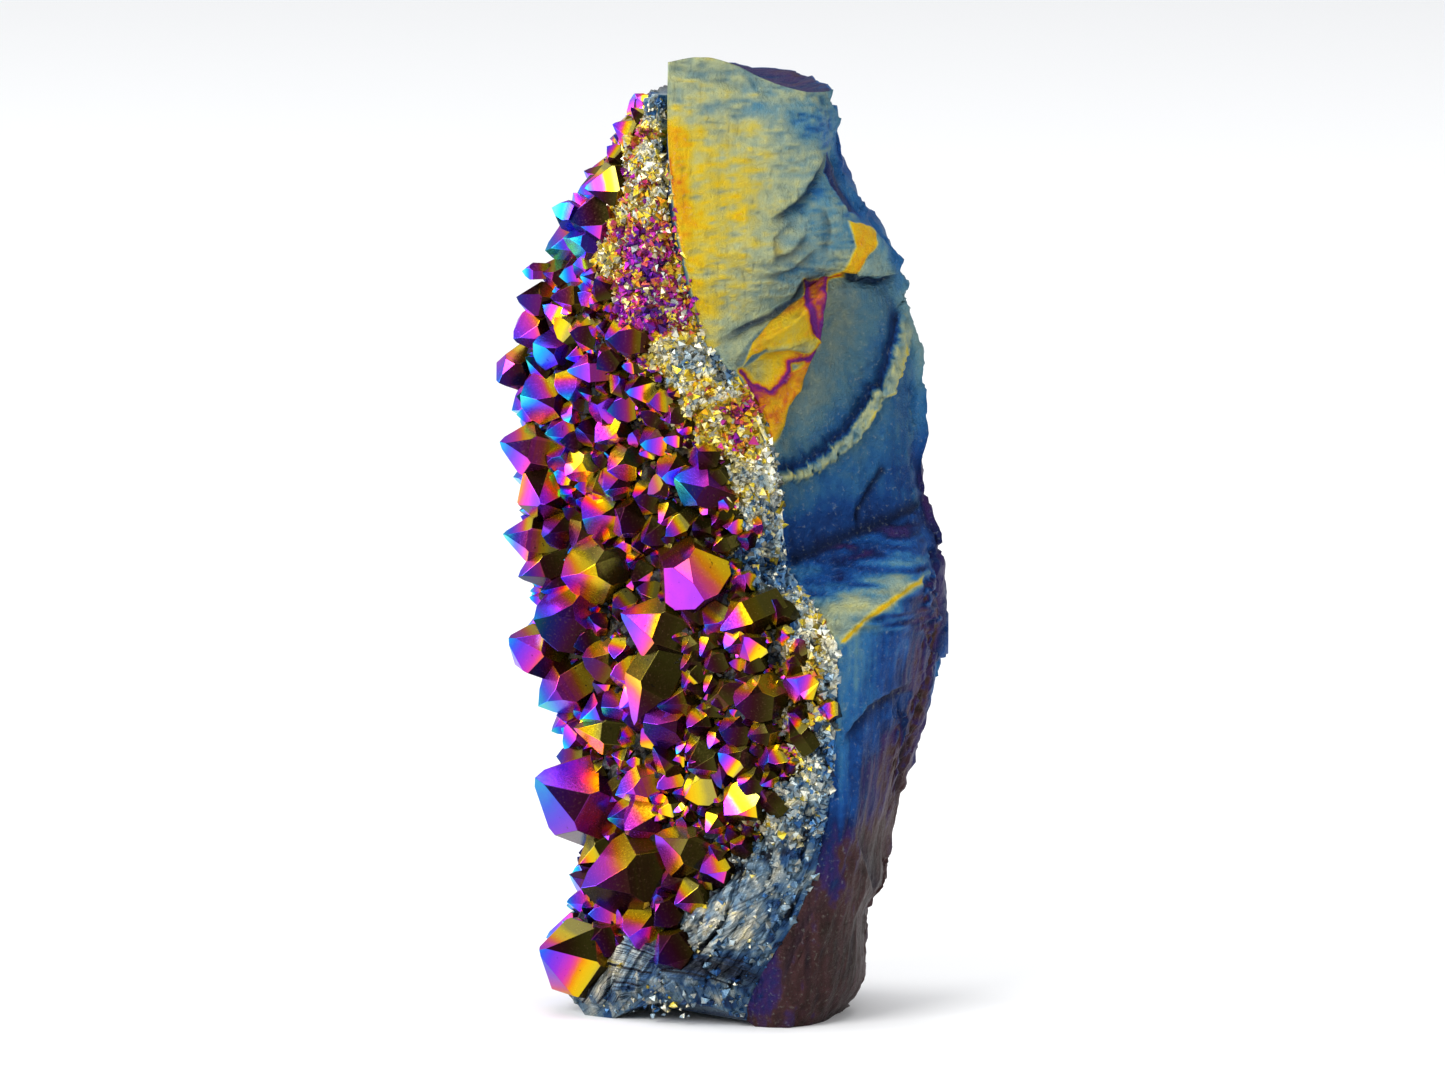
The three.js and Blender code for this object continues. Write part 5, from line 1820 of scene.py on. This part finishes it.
# Each point as (tip x, tip height, base x, base height, radius, way the bright face looks).
# Places are in the front view, and the way is in degrees: 180 left, 90 up, 270 down.
SHOWN_POINTS = (
    (-24.6, 141.7, -21.3, 142, 2.9, 180), (-29, 139.2, -26.4, 138, 2.4, 150),
    (-27.1, 134.1, -22.9, 133.3, 3.2, 250), (-31.5, 128.7, -27.6, 127.8, 2.9, 120),
    (-34.1, 128.5, -32.2, 128.5, 1.5, 200), (-24.2, 127.5, -22, 127.3, 1.9, 200),
    (-35.1, 124.1, -31.4, 123.6, 3.1, 180), (-29.2, 123.9, -25.2, 124.1, 2.7, 180),
    (-35.6, 117, -32.2, 118.5, 3.4, 240), (-32.2, 116.3, -28.8, 115.1, 3.4, 250),
    (-28.6, 120.5, -25.9, 118.8, 2.7, 160), (-26.4, 111.5, -22.5, 111.7, 2.9, 190),
    (-34.4, 107.3, -30, 107.3, 4.6, 250), (-38.1, 109.5, -35.8, 111.4, 3.1, 180),
    (-38, 99.5, -33.1, 98.4, 4.2, 260), (-21.3, 105.7, -19.6, 105.2, 3.1, 200),
    (-26.8, 93.7, -23.7, 95.5, 3.1, 270), (-19.6, 94.5, -16.2, 96.1, 3.2, 150),
    (-31, 88.9, -30, 90.6, 4.8, 180), (-37.5, 83.8, -32.7, 83.1, 3.7, 110),
    (-34.9, 76.5, -30, 78.2, 3.7, 120), (-27.5, 76.5, -21.5, 77.7, 5.4, 210),
    (-32.2, 69.2, -26.3, 69.5, 5.6, 115), (-36.5, 66.1, -32.4, 64.4, 4.2, 130),
    (-31.5, 54.4, -26.4, 57.6, 4.8, 140), (-23.9, 62.9, -19.8, 62.4, 3.7, 90),
    (-17.3, 70.4, -11.5, 68.3, 5.1, 100), (-15.4, 59.8, -13.5, 61.2, 2.4, 130),
    (-15, 51.3, -11.5, 57.6, 5.1, 140), (-13.5, 51.9, -9.3, 51.9, 4.4, 260),
    (-24.4, 52.2, -20.7, 53.6, 3.1, 120), (-25.4, 50.8, -20, 50.2, 3.6, 90),
    (-32, 42.3, -24.9, 39.1, 7, 190), (-19.6, 35.4, -16.2, 36, 3.1, 120),
    (-11, 36.6, -8.6, 37.2, 2, 200), (-6.4, 39.1, -3.3, 40.8, 3.4, 200),
    (-2.8, 33.2, -1.1, 34.9, 2.2, 240), (-11.5, 32.8, -6.5, 30.4, 4.6, 260),
    (-24.1, 23.6, -15.4, 25, 7.3, 130), (-24.7, 27.4, -20.8, 29.6, 3.4, 120),
    (-31.2, 13.1, -25.2, 11.7, 6.5, 120), (-11.5, 17.3, -9.3, 19, 3.1, 200),
    (-8.2, 93.3, -4.5, 92, 3.7, 200), (-10.6, 85.5, -8.8, 87.2, 2.4, 150),
    (-10.3, 79.4, -8.4, 80.6, 2, 150), (-3.1, 72.6, -4.3, 75.7, 5.8, 200),
    (-6.7, 70.6, -4.7, 70.4, 2.6, 200), (-15.4, 75.7, -13.2, 76.7, 2.7, 200),
    (-17.1, 83.8, -15.7, 86, 3.4, 200), (-15, 89.9, -12.5, 90.1, 3.1, 130),
    (-25.6, 81.4, -23.2, 84.2, 3.1, 150), (-0.4, 67.5, 3.5, 69.2, 3.7, 200),
    (0.3, 64.4, 2.5, 65.8, 2.4, 220), (3.7, 60.4, 5.4, 61.7, 2.2, 200),
    (2.1, 54.7, 6, 56.1, 4.1, 150), (-6.9, 63.8, -5.2, 64.8, 2, 160),
    (-3.8, 63.1, -2, 64.8, 2.2, 150), (-2.8, 61, -0.8, 62.4, 2.4, 200),
    (-6.9, 57.6, -4.8, 59.7, 2.4, 170), (-0.8, 46.8, 2.5, 45.9, 3.1, 100),
    (-5.9, 44, -2.5, 45.4, 3.4, 230), (2.6, 41.1, 5.2, 42, 2.7, 200),
    (4.2, 49.6, 6.7, 50.3, 2.4, 180), (-18.3, 39.4, -13.5, 41.1, 3.2, 150),
    (-27.1, 47.1, -24.7, 49.5, 2.6, 200),
    # smaller ones between them
    (-22.7, 121, -22.2, 121.2, 1.5, 220), (-22.5, 118.3, -21.2, 118.7, 1.7, 200),
    (-25.6, 106.6, -24.4, 106.1, 1.7, 120), (-22.2, 96.7, -20.4, 96.7, 1.7, 150),
    (-14.2, 97.4, -12.5, 97.9, 1.7, 180), (-29.4, 94.9, -28.2, 95.2, 1.5, 200),
    (-11.3, 85.2, -9.7, 86.2, 1.5, 240), (-13.5, 80.8, -11.9, 81.8, 1.7, 150),
    (-10.3, 79.4, -8.5, 80.6, 1.9, 150), (-5.9, 80.6, -4.3, 81.3, 1.9, 150),
    (-1.8, 81.1, 0, 81.9, 1.9, 200), (-2, 85.2, -0.4, 86.2, 1.7, 180),
    (-16.1, 78.9, -15, 79.1, 2, 200), (-22, 88.4, -21.2, 90.8, 2, 160),
    (-18.6, 89.4, -17.9, 91.1, 1.9, 220), (-9.6, 89.6, -8.6, 91.1, 1.5, 160),
    (-27.6, 90.6, -26.3, 91, 1.9, 60), (-1.8, 54.9, -0.1, 55.8, 2, 180),
    (-6.1, 57.6, -4.6, 58.1, 2.4, 170), (-3.1, 57, -1.5, 58.3, 2, 150),
    (-2.3, 47.4, -0.8, 49, 1.9, 200), (-5.9, 45.1, -2.5, 45.4, 3.1, 230),
    (-8.8, 45.1, -7.4, 45.4, 1.5, 200), (4.5, 47.1, 6, 47.4, 1.5, 140),
    (11, 62.1, 12.2, 62.7, 1.5, 160),
)


# Listed points that are coated in a way of their own: which large face is the bright one, how lit
# it is, and the coating at the root and at the tip. They are named by their place in the list.
OWN_COATINGS = {
    0: (0, 0.1, 0.3, 0.9), 1: (0, 1, 0.72, 1), 2: (0, 1, 0.7, 0.95), 3: (0, 0.3, 0.1, 0.9),
    4: (0, 1, 0.55, 0.95), 5: (0, 1, 0.38, 0.95), 6: (0, 0.1, 0.42, 0.56), 7: (0, 0.12, 0.25, 0.5),
    8: (0, 1, 0.34, 0.6), 9: (0, 1, 0.62, 0.86), 10: (0, 0.8, 0.02, 0.25), 11: (0, 0.9, 0.5, 0.68),
    12: (0, 1, 0.18, 0.95), 13: (0, 1, 0.38, 0.66), 14: (0, 1, 0.38, 0.76), 15: (0, 0.9, 0.3, 0.5),
    16: (0, 1, 0.1, 0.38), 17: (0, 0.9, 0.08, 0.42), 18: (0, 0.9, 0.2, 0.62),
    19: (0, 1, 0.24, 0.94), 20: (0, 1, 0.2, 0.72), 21: (1, 0.9, 0.02, 0.45), 22: (0, 1, 0.38, 0.95),
    23: (0, 0.5, 0.4, 0.75), 24: (0, 1, 0.3, 0.9), 25: (0, 1, 0.1, 0.42), 26: (1, 0.4, 0.25, 0.58),
    27: (0, 1, 0.1, 0.36), 28: (0, 1, 0.12, 0.46), 29: (0, 0.12, 0.42, 0.6), 30: (0, 1, 0.5, 0.85),
    31: (0, 0.6, 0, 0.16), 32: (0, 0.6, 0.48, 0.72), 33: (0, 1, 0.25, 0.82),
    34: (0, 0.9, 0.04, 0.22), 35: (0, 0.5, 0, 0.14), 36: (0, 1, 0.1, 0.42),
    37: (0, 0.9, 0.14, 0.42), 38: (0, 0.9, 0.22, 0.6), 39: (0, 0.6, 0, 0.26),
    40: (0, 1, 0.12, 0.66), 41: (0, 0.12, 0.3, 0.55), 42: (0, 1, 0.6, 0.86), 43: (0, 1, 0.1, 0.42),
    45: (1, 0.35, 0.34, 0.56), 46: (0, 1, 0.14, 0.42), 47: (0, 0.1, 0.2, 0.5),
    48: (0, 1, 0.3, 0.62), 50: (0, 0.2, 0.15, 0.55),
}
LARGE_POINTS = 65  # how many of the listed points come before the smaller ones
POINT_SPREAD = 1.12  # the listed radii are the bright faces'; the whole base is wider
FACE_LEAN = 0.6  # how far a bright face turns to the front


class Druse:
    """All the points that stand on the crust."""

    def __init__(self, crust: Crust) -> None:
        """Lays the points out.

        Args:
            crust: What they stand on.
        """
        self.crust = crust
        self.draw = np.random.default_rng(DRUSE_SEED)
        self.shown = self.shown_points()
        self.strewn = self.strewn_points()
        taken = Points.joined([self.shown, self.strewn])
        self.middling = self.fillers(taken, 1900, (1.8, 3.5), 0.58)
        taken = Points.joined([taken, self.middling])
        self.small = self.fillers(taken, 3200, (0.8, 1.8), 0.5)

    def films(self, base: Array) -> Array:
        """The coating at roots and tips: bluer at the left side, golden inwards and at the top.

        Args:
            base: The points' bases.

        Returns:
            The thickness at each root and tip.
        """
        count = len(base)
        left = step_up(-base[:, 0], 14, 32)
        v = VIEW.up_of(base)
        tip = 0.64 + 0.3 * left + self.draw.uniform(-0.16, 0.18, count)
        tip += 0.06 * step_up(30 - v, 0, 20)
        root = 0.08 + 0.14 * left + self.draw.uniform(-0.14, 0.16, count)
        root += 0.1 * step_up(45 - v, 0, 25)
        return np.stack([root, tip], axis=-1)

    def large(self, shape: tuple[Array, ...], often: float, painted_dim: float) -> Points:
        """Gives large points their coating, and their painted light, by chance.

        Args:
            shape: Their bases, axes, reaches, radii and facings.
            often: How often a bright face is fully lit.
            painted_dim: How lit it is otherwise, in painted light.

        Returns:
            The points.
        """
        base = shape[0]
        count = len(base)
        small = self.draw.uniform(0.06, 0.34, count)
        bright = np.where(self.draw.uniform(0, 1, count) < often, 1, painted_dim)
        films, lead = self.films(base), np.zeros(count, dtype=int)
        return Points(*shape, films, np.zeros(count), small, bright, lead)

    def shown_points(self) -> Points:
        """The listed points: what the view foreshortens of one leans out to the front.

        Returns:
            The points.
        """
        tip_x, tip_v, base_x, base_v, listed, way = np.array(SHOWN_POINTS, dtype=float).T
        radius = POINT_SPREAD * listed
        full = RISE * radius * COS_30
        across, up = tip_x - base_x, tip_v - base_v
        shown = np.hypot(across, up)
        reach = np.maximum(full, shown)
        axis = unit(VIEW.turned(across, up, -np.sqrt(reach**2 - shown**2)))
        base = self.crust.under(base_x, base_v) + VIEW.turned(0, 0, -0.25 * radius)
        angle = np.radians(way)
        facing = VIEW.turned(np.cos(angle), np.sin(angle), -FACE_LEAN)
        points = self.large((base, axis, reach, radius, facing), 0.92, 0.4)
        for i, (face, lit, root, tip) in OWN_COATINGS.items():
            points.film[i], points.bright[i], points.lead[i] = (root, tip), lit, face
        return points

    def strewn_points(self) -> Points:
        """Points in rows over the whole druse, none of them crowding one that is there already.

        Returns:
            The points.
        """
        state = STREWN_SEED
        low, high, rise, spacing = 15, 145, 7, 6.7

        def draw() -> float:
            """Draws the next number.

            Returns:
                A number from 0 to 1.
            """
            nonlocal state
            state = state * DRAW_STEP % DRAW_RANGE
            return state / DRAW_RANGE

        listed = np.array(SHOWN_POINTS[:LARGE_POINTS], dtype=float)
        bases = list(self.crust.under(listed[:, 2], listed[:, 3]))
        radii = list(listed[:, 4])
        found = []
        v = low
        while v < high:
            stops = self.crust.place(np.array([0, 1, 2]), v)
            reach = np.linalg.norm(np.diff(stops, axis=0), axis=1)
            way = 0.06
            while way < 1.95:
                place, height = way + 0.12 * (draw() - 0.5), v + rise * (draw() - 0.5)
                radius = 3.1 + 2.1 * draw() ** 1.5
                lean = 0.4 * np.array([draw() - 0.9, draw() - 0.6, draw() - 0.8])
                facing = np.array([draw() - 0.5, draw() - 0.5, draw() - 0.5])
                way += spacing / max(spacing, reach[int(way)])
                base = self.crust.place(max(0, place), height)
                gaps = np.linalg.norm(np.array(bases) - base, axis=1)
                if np.any(gaps < 0.56 * (np.array(radii) + radius)):
                    continue
                bases.append(base)
                radii.append(radius)
                ahead = self.crust.place(max(0, place) + 0.04, height) - base
                axis = unit(unit(np.array([-ahead[1], ahead[0], 0])) + lean)
                found.append((base, axis, radius, facing))
            v += rise
        base, axis, radius, facing = (np.array(column) for column in zip(*found))
        reach = RISE * radius * COS_30
        return self.large((base, axis, reach, radius, facing), 0.86, 0.2)

    def fillers(
        self, taken: Points, tries: int, sizes: tuple[float, float], crowd: float
    ) -> Points:
        """Smaller points by chance in the spaces that the larger ones leave.

        Args:
            taken: The points that are there already.
            tries: How many places are tried.
            sizes: The smallest and the largest radius.
            crowd: A new one this near another, over their radii, is left out.

        Returns:
            The new points.
        """
        draw = self.draw
        way = draw.uniform(-0.05, 1.98, tries) - np.where(draw.uniform(0, 1, tries) < 0.05, 0.12, 0)
        v = draw.uniform(3, 156, tries)
        radius = sizes[0] + (sizes[1] - sizes[0]) * draw.uniform(0, 1, tries) ** 1.6
        base = self.crust.place(way, v, BARE_EDGE)
        normal = self.crust.out(way, v, BARE_EDGE)
        gaps = np.linalg.norm(taken.base[None] - base[:, None], axis=-1)
        free = np.all(gaps > 0.8 * taken.radius[None] + 0.15 * radius[:, None], axis=1)
        free &= base[:, 2] > 3 + 1.6 * radius
        kept: list[int] = []
        for i in np.flatnonzero(free):
            near = np.linalg.norm(base[kept] - base[i], axis=1) < crowd * (radius[kept] + radius[i])
            if not near.any():
                kept.append(int(i))
        base, normal, radius = base[kept], normal[kept], radius[kept]
        count = len(kept)
        axis = unit(normal + draw.normal(0, 0.42, (count, 3)) + np.array([-0.15, 0, 0.1]))
        facing = draw.normal(0, 1, (count, 3)) + np.array([-0.9, -0.5, 0.2])
        reach = RISE * radius * FILLER_APOTHEM * draw.uniform(0.95, 1.35, count)
        small = draw.uniform(0.05, 0.4, count)
        bright = np.where(draw.uniform(0, 1, count) < 0.46 + 0.14 * radius, 1, 0.1)
        return Points(
            base + normal * (0.1 * radius)[:, None], axis, reach, radius, facing, self.films(base),
            draw.uniform(-0.5, 0.1, count), small, bright, np.zeros(count, dtype=int),
        )


# ---- broken grains ----


@dataclass
class Grains:
    """Chips of broken quartz: octahedra with their corners pulled in and out by chance."""

    name: str
    count: int
    sizes: tuple[float, float]
    bare: bool  # on the bare crust by the rock, or else between the points

    def surface(self, crust: Crust, wall: Array, draw: np.random.Generator) -> Surface:
        """Strews the chips over the crust.

        Args:
            crust: What they lie on.
            wall: Columns of the rock's net from the crust to the rock's front edge.
            draw: Draws for their places, sizes and turns.

        Returns:
            A surface of closed chips, with `film` and `shade` on their corners.
        """
        v = draw.uniform(2, 157, self.count * 2)
        if self.bare:
            share = draw.uniform(0, 0.75, self.count * 2)
            base = crust.front(share, v)
            beyond = past_edge(base)
            crowded = step_up(beyond, -6, 1) * (0.12 + 0.88 * step_up(v, 26, 42))
            unzoned = 1 - zoning(base[:, None])[1][:, 0]
            keep = draw.uniform(0, 1, self.count * 2) < crowded * unzoned
            rough = crust.lumps(base[:, None])[:, 0]
            base = base + crust.front_out(share, v) * rough[:, None]
        else:
            base = crust.place(draw.uniform(0, 2, self.count * 2), v)
            keep, rough = np.ones(self.count * 2, dtype=bool), np.zeros(self.count * 2)
        base, rough = base[keep][: self.count], rough[keep][: self.count]
        # Painted shade on grains that lie in the crust's hollows.
        hollow = np.clip(-rough * 0.7 - 0.1, 0, 0.75)
        if self.bare:
            heights = draw.integers(int(0.06 * len(wall)), int(0.88 * len(wall)), self.count // 8)
            step = draw.uniform(0, wall.shape[1] - 1.001, len(heights))
            share, step = (step % 1)[:, None], step.astype(int)
            beside = wall[heights, step] * (1 - share) + wall[heights, step + 1] * share
            base, hollow = np.concatenate([base, beside]), np.append(hollow, np.zeros(len(beside)))
        base[:, 2] = np.maximum(base[:, 2], 1.2)
        count = len(base)
        size = self.sizes[0] + (self.sizes[1] - self.sizes[0]) * draw.uniform(0, 1, count) ** 1.8
        turn = unit(draw.normal(0, 1, (count, 3)))
        other = unit(np.cross(turn, draw.normal(0, 1, (count, 3))))
        basis = np.stack([turn, other, np.cross(turn, other)], axis=1)
        poles = np.concatenate([np.eye(3), -np.eye(3)])
        pulled = poles * draw.uniform(0.45, 1.25, (count, 6, 1))
        pulled = pulled + draw.uniform(-0.22, 0.22, (count, 6, 3))
        corners = base[:, None] + np.einsum("nkc,ncx->nkx", pulled * size[:, None, None], basis)
        table = np.array([
            [0, 1, 2], [1, 3, 2], [3, 4, 2], [4, 0, 2], [1, 0, 5], [3, 1, 5], [4, 3, 5], [0, 4, 5],
        ])
        faces = (np.arange(count)[:, None, None] * 6 + table[None]).reshape(-1, 3)
        film, dark = grain_film(base)
        film = film[:, None] + draw.normal(0, 0.06, (count, 1)) + draw.normal(0, 0.05, (count, 8))
        # Painted glints: by chance, more often higher up, a grain takes a near-white or gold
        # coating.
        often = 0.03 + 0.22 * step_up(VIEW.up_of(base)[:, None], 40, 100)
        spark = draw.uniform(0, 1, (count, 1)) < often
        film = np.where(spark, draw.uniform(0.44, 0.68, (count, 1)), film)
        # Painted light and shade by chance: a few faces of each grain stay bright, the rest are
        # painted darker.
        glint = draw.uniform(0, 1, (count, 8)) * draw.uniform(0.5, 1.2, (count, 1))
        painted_dim = np.where(glint < 0.2, 0, np.where(glint < 0.5, 0.5, 0.88))
        dark = np.clip(np.maximum(dark, hollow), 0, 1)[:, None]
        shade = np.maximum(dark, painted_dim * draw.uniform(0.6, 1, (count, 8)))
        values = {
            name: np.repeat(np.clip(numbers, 0, 1), 3, axis=1).ravel()
            for name, numbers in (("film", film), ("shade", shade))
        }
        values["growth"] = values["zoned"] = np.zeros(faces.size)
        return Surface(self.name, corners.reshape(-1, 3), [faces], corner_values=values)


# ---- the stage ----


@dataclass(frozen=True)
class Softbox:
    """A square area light that looks at the cluster."""

    name: str
    place: tuple[float, float, float]  # metres
    side: float
    power: float


class Stage:
    """A plain pale floor, soft lights and the camera."""

    boxes = (
        Softbox("key", (-1.5, -1.6, 1.5), 1.3, 52),
        Softbox("left", (-1.9, 0.2, 0.5), 1.2, 26),
        Softbox("top", (0.2, 0.3, 2.2), 1.4, 24),
        Softbox("right", (1.9, -1.2, 0.9), 0.9, 14),
    )

    def build(self) -> None:
        """Makes them all."""
        self._floor()
        for box in self.boxes:
            self._light(box)
        self._world()
        self._camera()

    @staticmethod
    def _floor() -> None:
        """A wide pale plane at z = 0."""
        half = 8
        mesh = bpy.data.meshes.new("floor")
        corners = [(-half, -half, 0), (half, -half, 0), (half, half, 0), (-half, half, 0)]
        mesh.from_pydata(corners, [], [(0, 1, 2, 3)])
        nodes = Nodes("floor")
        mesh.materials.append(nodes.dress({"Base Color": (0.9, 0.9, 0.9), "Roughness": 0.9}))
        floor = bpy.data.objects.new("floor", mesh)
        bpy.context.scene.collection.objects.link(floor)
        floor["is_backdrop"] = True

    @staticmethod
    def _light(box: Softbox) -> None:
        """Hangs up one area light.

        Args:
            box: The light.
        """
        lamp = bpy.data.lights.new(box.name, "AREA")
        lamp.shape, lamp.size, lamp.energy = "SQUARE", box.side, box.power
        made = bpy.data.objects.new(box.name, lamp)
        made.location = box.place
        aim = np.array(AIM) * MM - np.array(box.place)
        made.rotation_euler = aimed(aim)
        bpy.context.scene.collection.objects.link(made)

    @staticmethod
    def _world() -> None:
        """An even pale surrounding."""
        world = bpy.data.worlds.new("studio")
        world.use_nodes = True
        world.node_tree.nodes["Background"].inputs["Color"].default_value = (0.95, 0.97, 1, 1)
        world.node_tree.nodes["Background"].inputs["Strength"].default_value = 0.55
        bpy.context.scene.world = world

    @staticmethod
    def _camera() -> None:
        """A long lens that looks down by the view's tip."""
        lens = bpy.data.cameras.new("camera")
        lens.sensor_width = 36
        lens.lens = lens.sensor_width * EYE_DISTANCE / VIEW_WIDTH
        lens.clip_end = 40
        camera = bpy.data.objects.new("camera", lens)
        away = np.array([0, -VIEW.cos, VIEW.sin]) * EYE_DISTANCE
        camera.location = (np.array(AIM) + away) * MM
        camera.rotation_euler = (math.pi / 2 - VIEW.tip, 0, 0)
        bpy.context.scene.collection.objects.link(camera)
        bpy.context.scene.camera = camera
        bpy.context.scene.view_settings.view_transform = "Standard"


def aimed(aim: Array) -> tuple[float, float, float]:
    """The turns that point an object's -Z along a direction."""
    level = math.hypot(aim[0], aim[1])
    return (math.atan2(level, -aim[2]), 0, math.atan2(aim[1], aim[0]) - math.pi / 2)


# ---- assembly ----


def plain(bounds: Any) -> list[list[float]]:
    """A box's corners as plain lists."""
    return [[float(value) for value in corner] for corner in bounds]


def main() -> None:
    """Builds the cluster and its stage."""
    cad = plain(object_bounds())
    crust = Crust()
    druse = Druse(crust)
    draw = np.random.default_rng(FACE_SEED)
    finishes = (CoatedFaces(), CoatedRock(), CoatedGrains())
    faces, rock, grains = (finish.material() for finish in finishes)
    host = HostRock()
    net = host.net()
    wall = np.concatenate([net[:, -host.seam_steps :], net[:, :1]], axis=1)
    points = (
        ("druse_points", Points.joined([druse.shown, druse.strewn])),
        ("filler_points", druse.middling),
        ("small_points", druse.small),
    )
    pieces = [host.surface().build(rock, Slot.ROCK)]
    pieces += [kind.surface(name, draw).build(faces, Slot.QUARTZ) for name, kind in points]
    pieces.append(crust.surface().build(grains, Slot.QUARTZ))
    for strewn in (
        Grains("broken_grains", 11000, (0.24, 1.1), True),
        Grains("debris", 3000, (0.3, 0.7), False),
    ):
        pieces.append(strewn.surface(crust, wall, draw).build(grains, Slot.QUARTZ))
    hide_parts("matrix_rock")
    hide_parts("quartz_crystals")
    Stage().build()
    for piece in pieces:
        LOG.info("%s: %d faces", piece.name, len(piece.data.polygons))
    {"cad": cad, "visual": plain(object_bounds())}


if __name__ == "__main__":
    logging.basicConfig(level=logging.INFO, format="%(name)s: %(message)s")
    main()
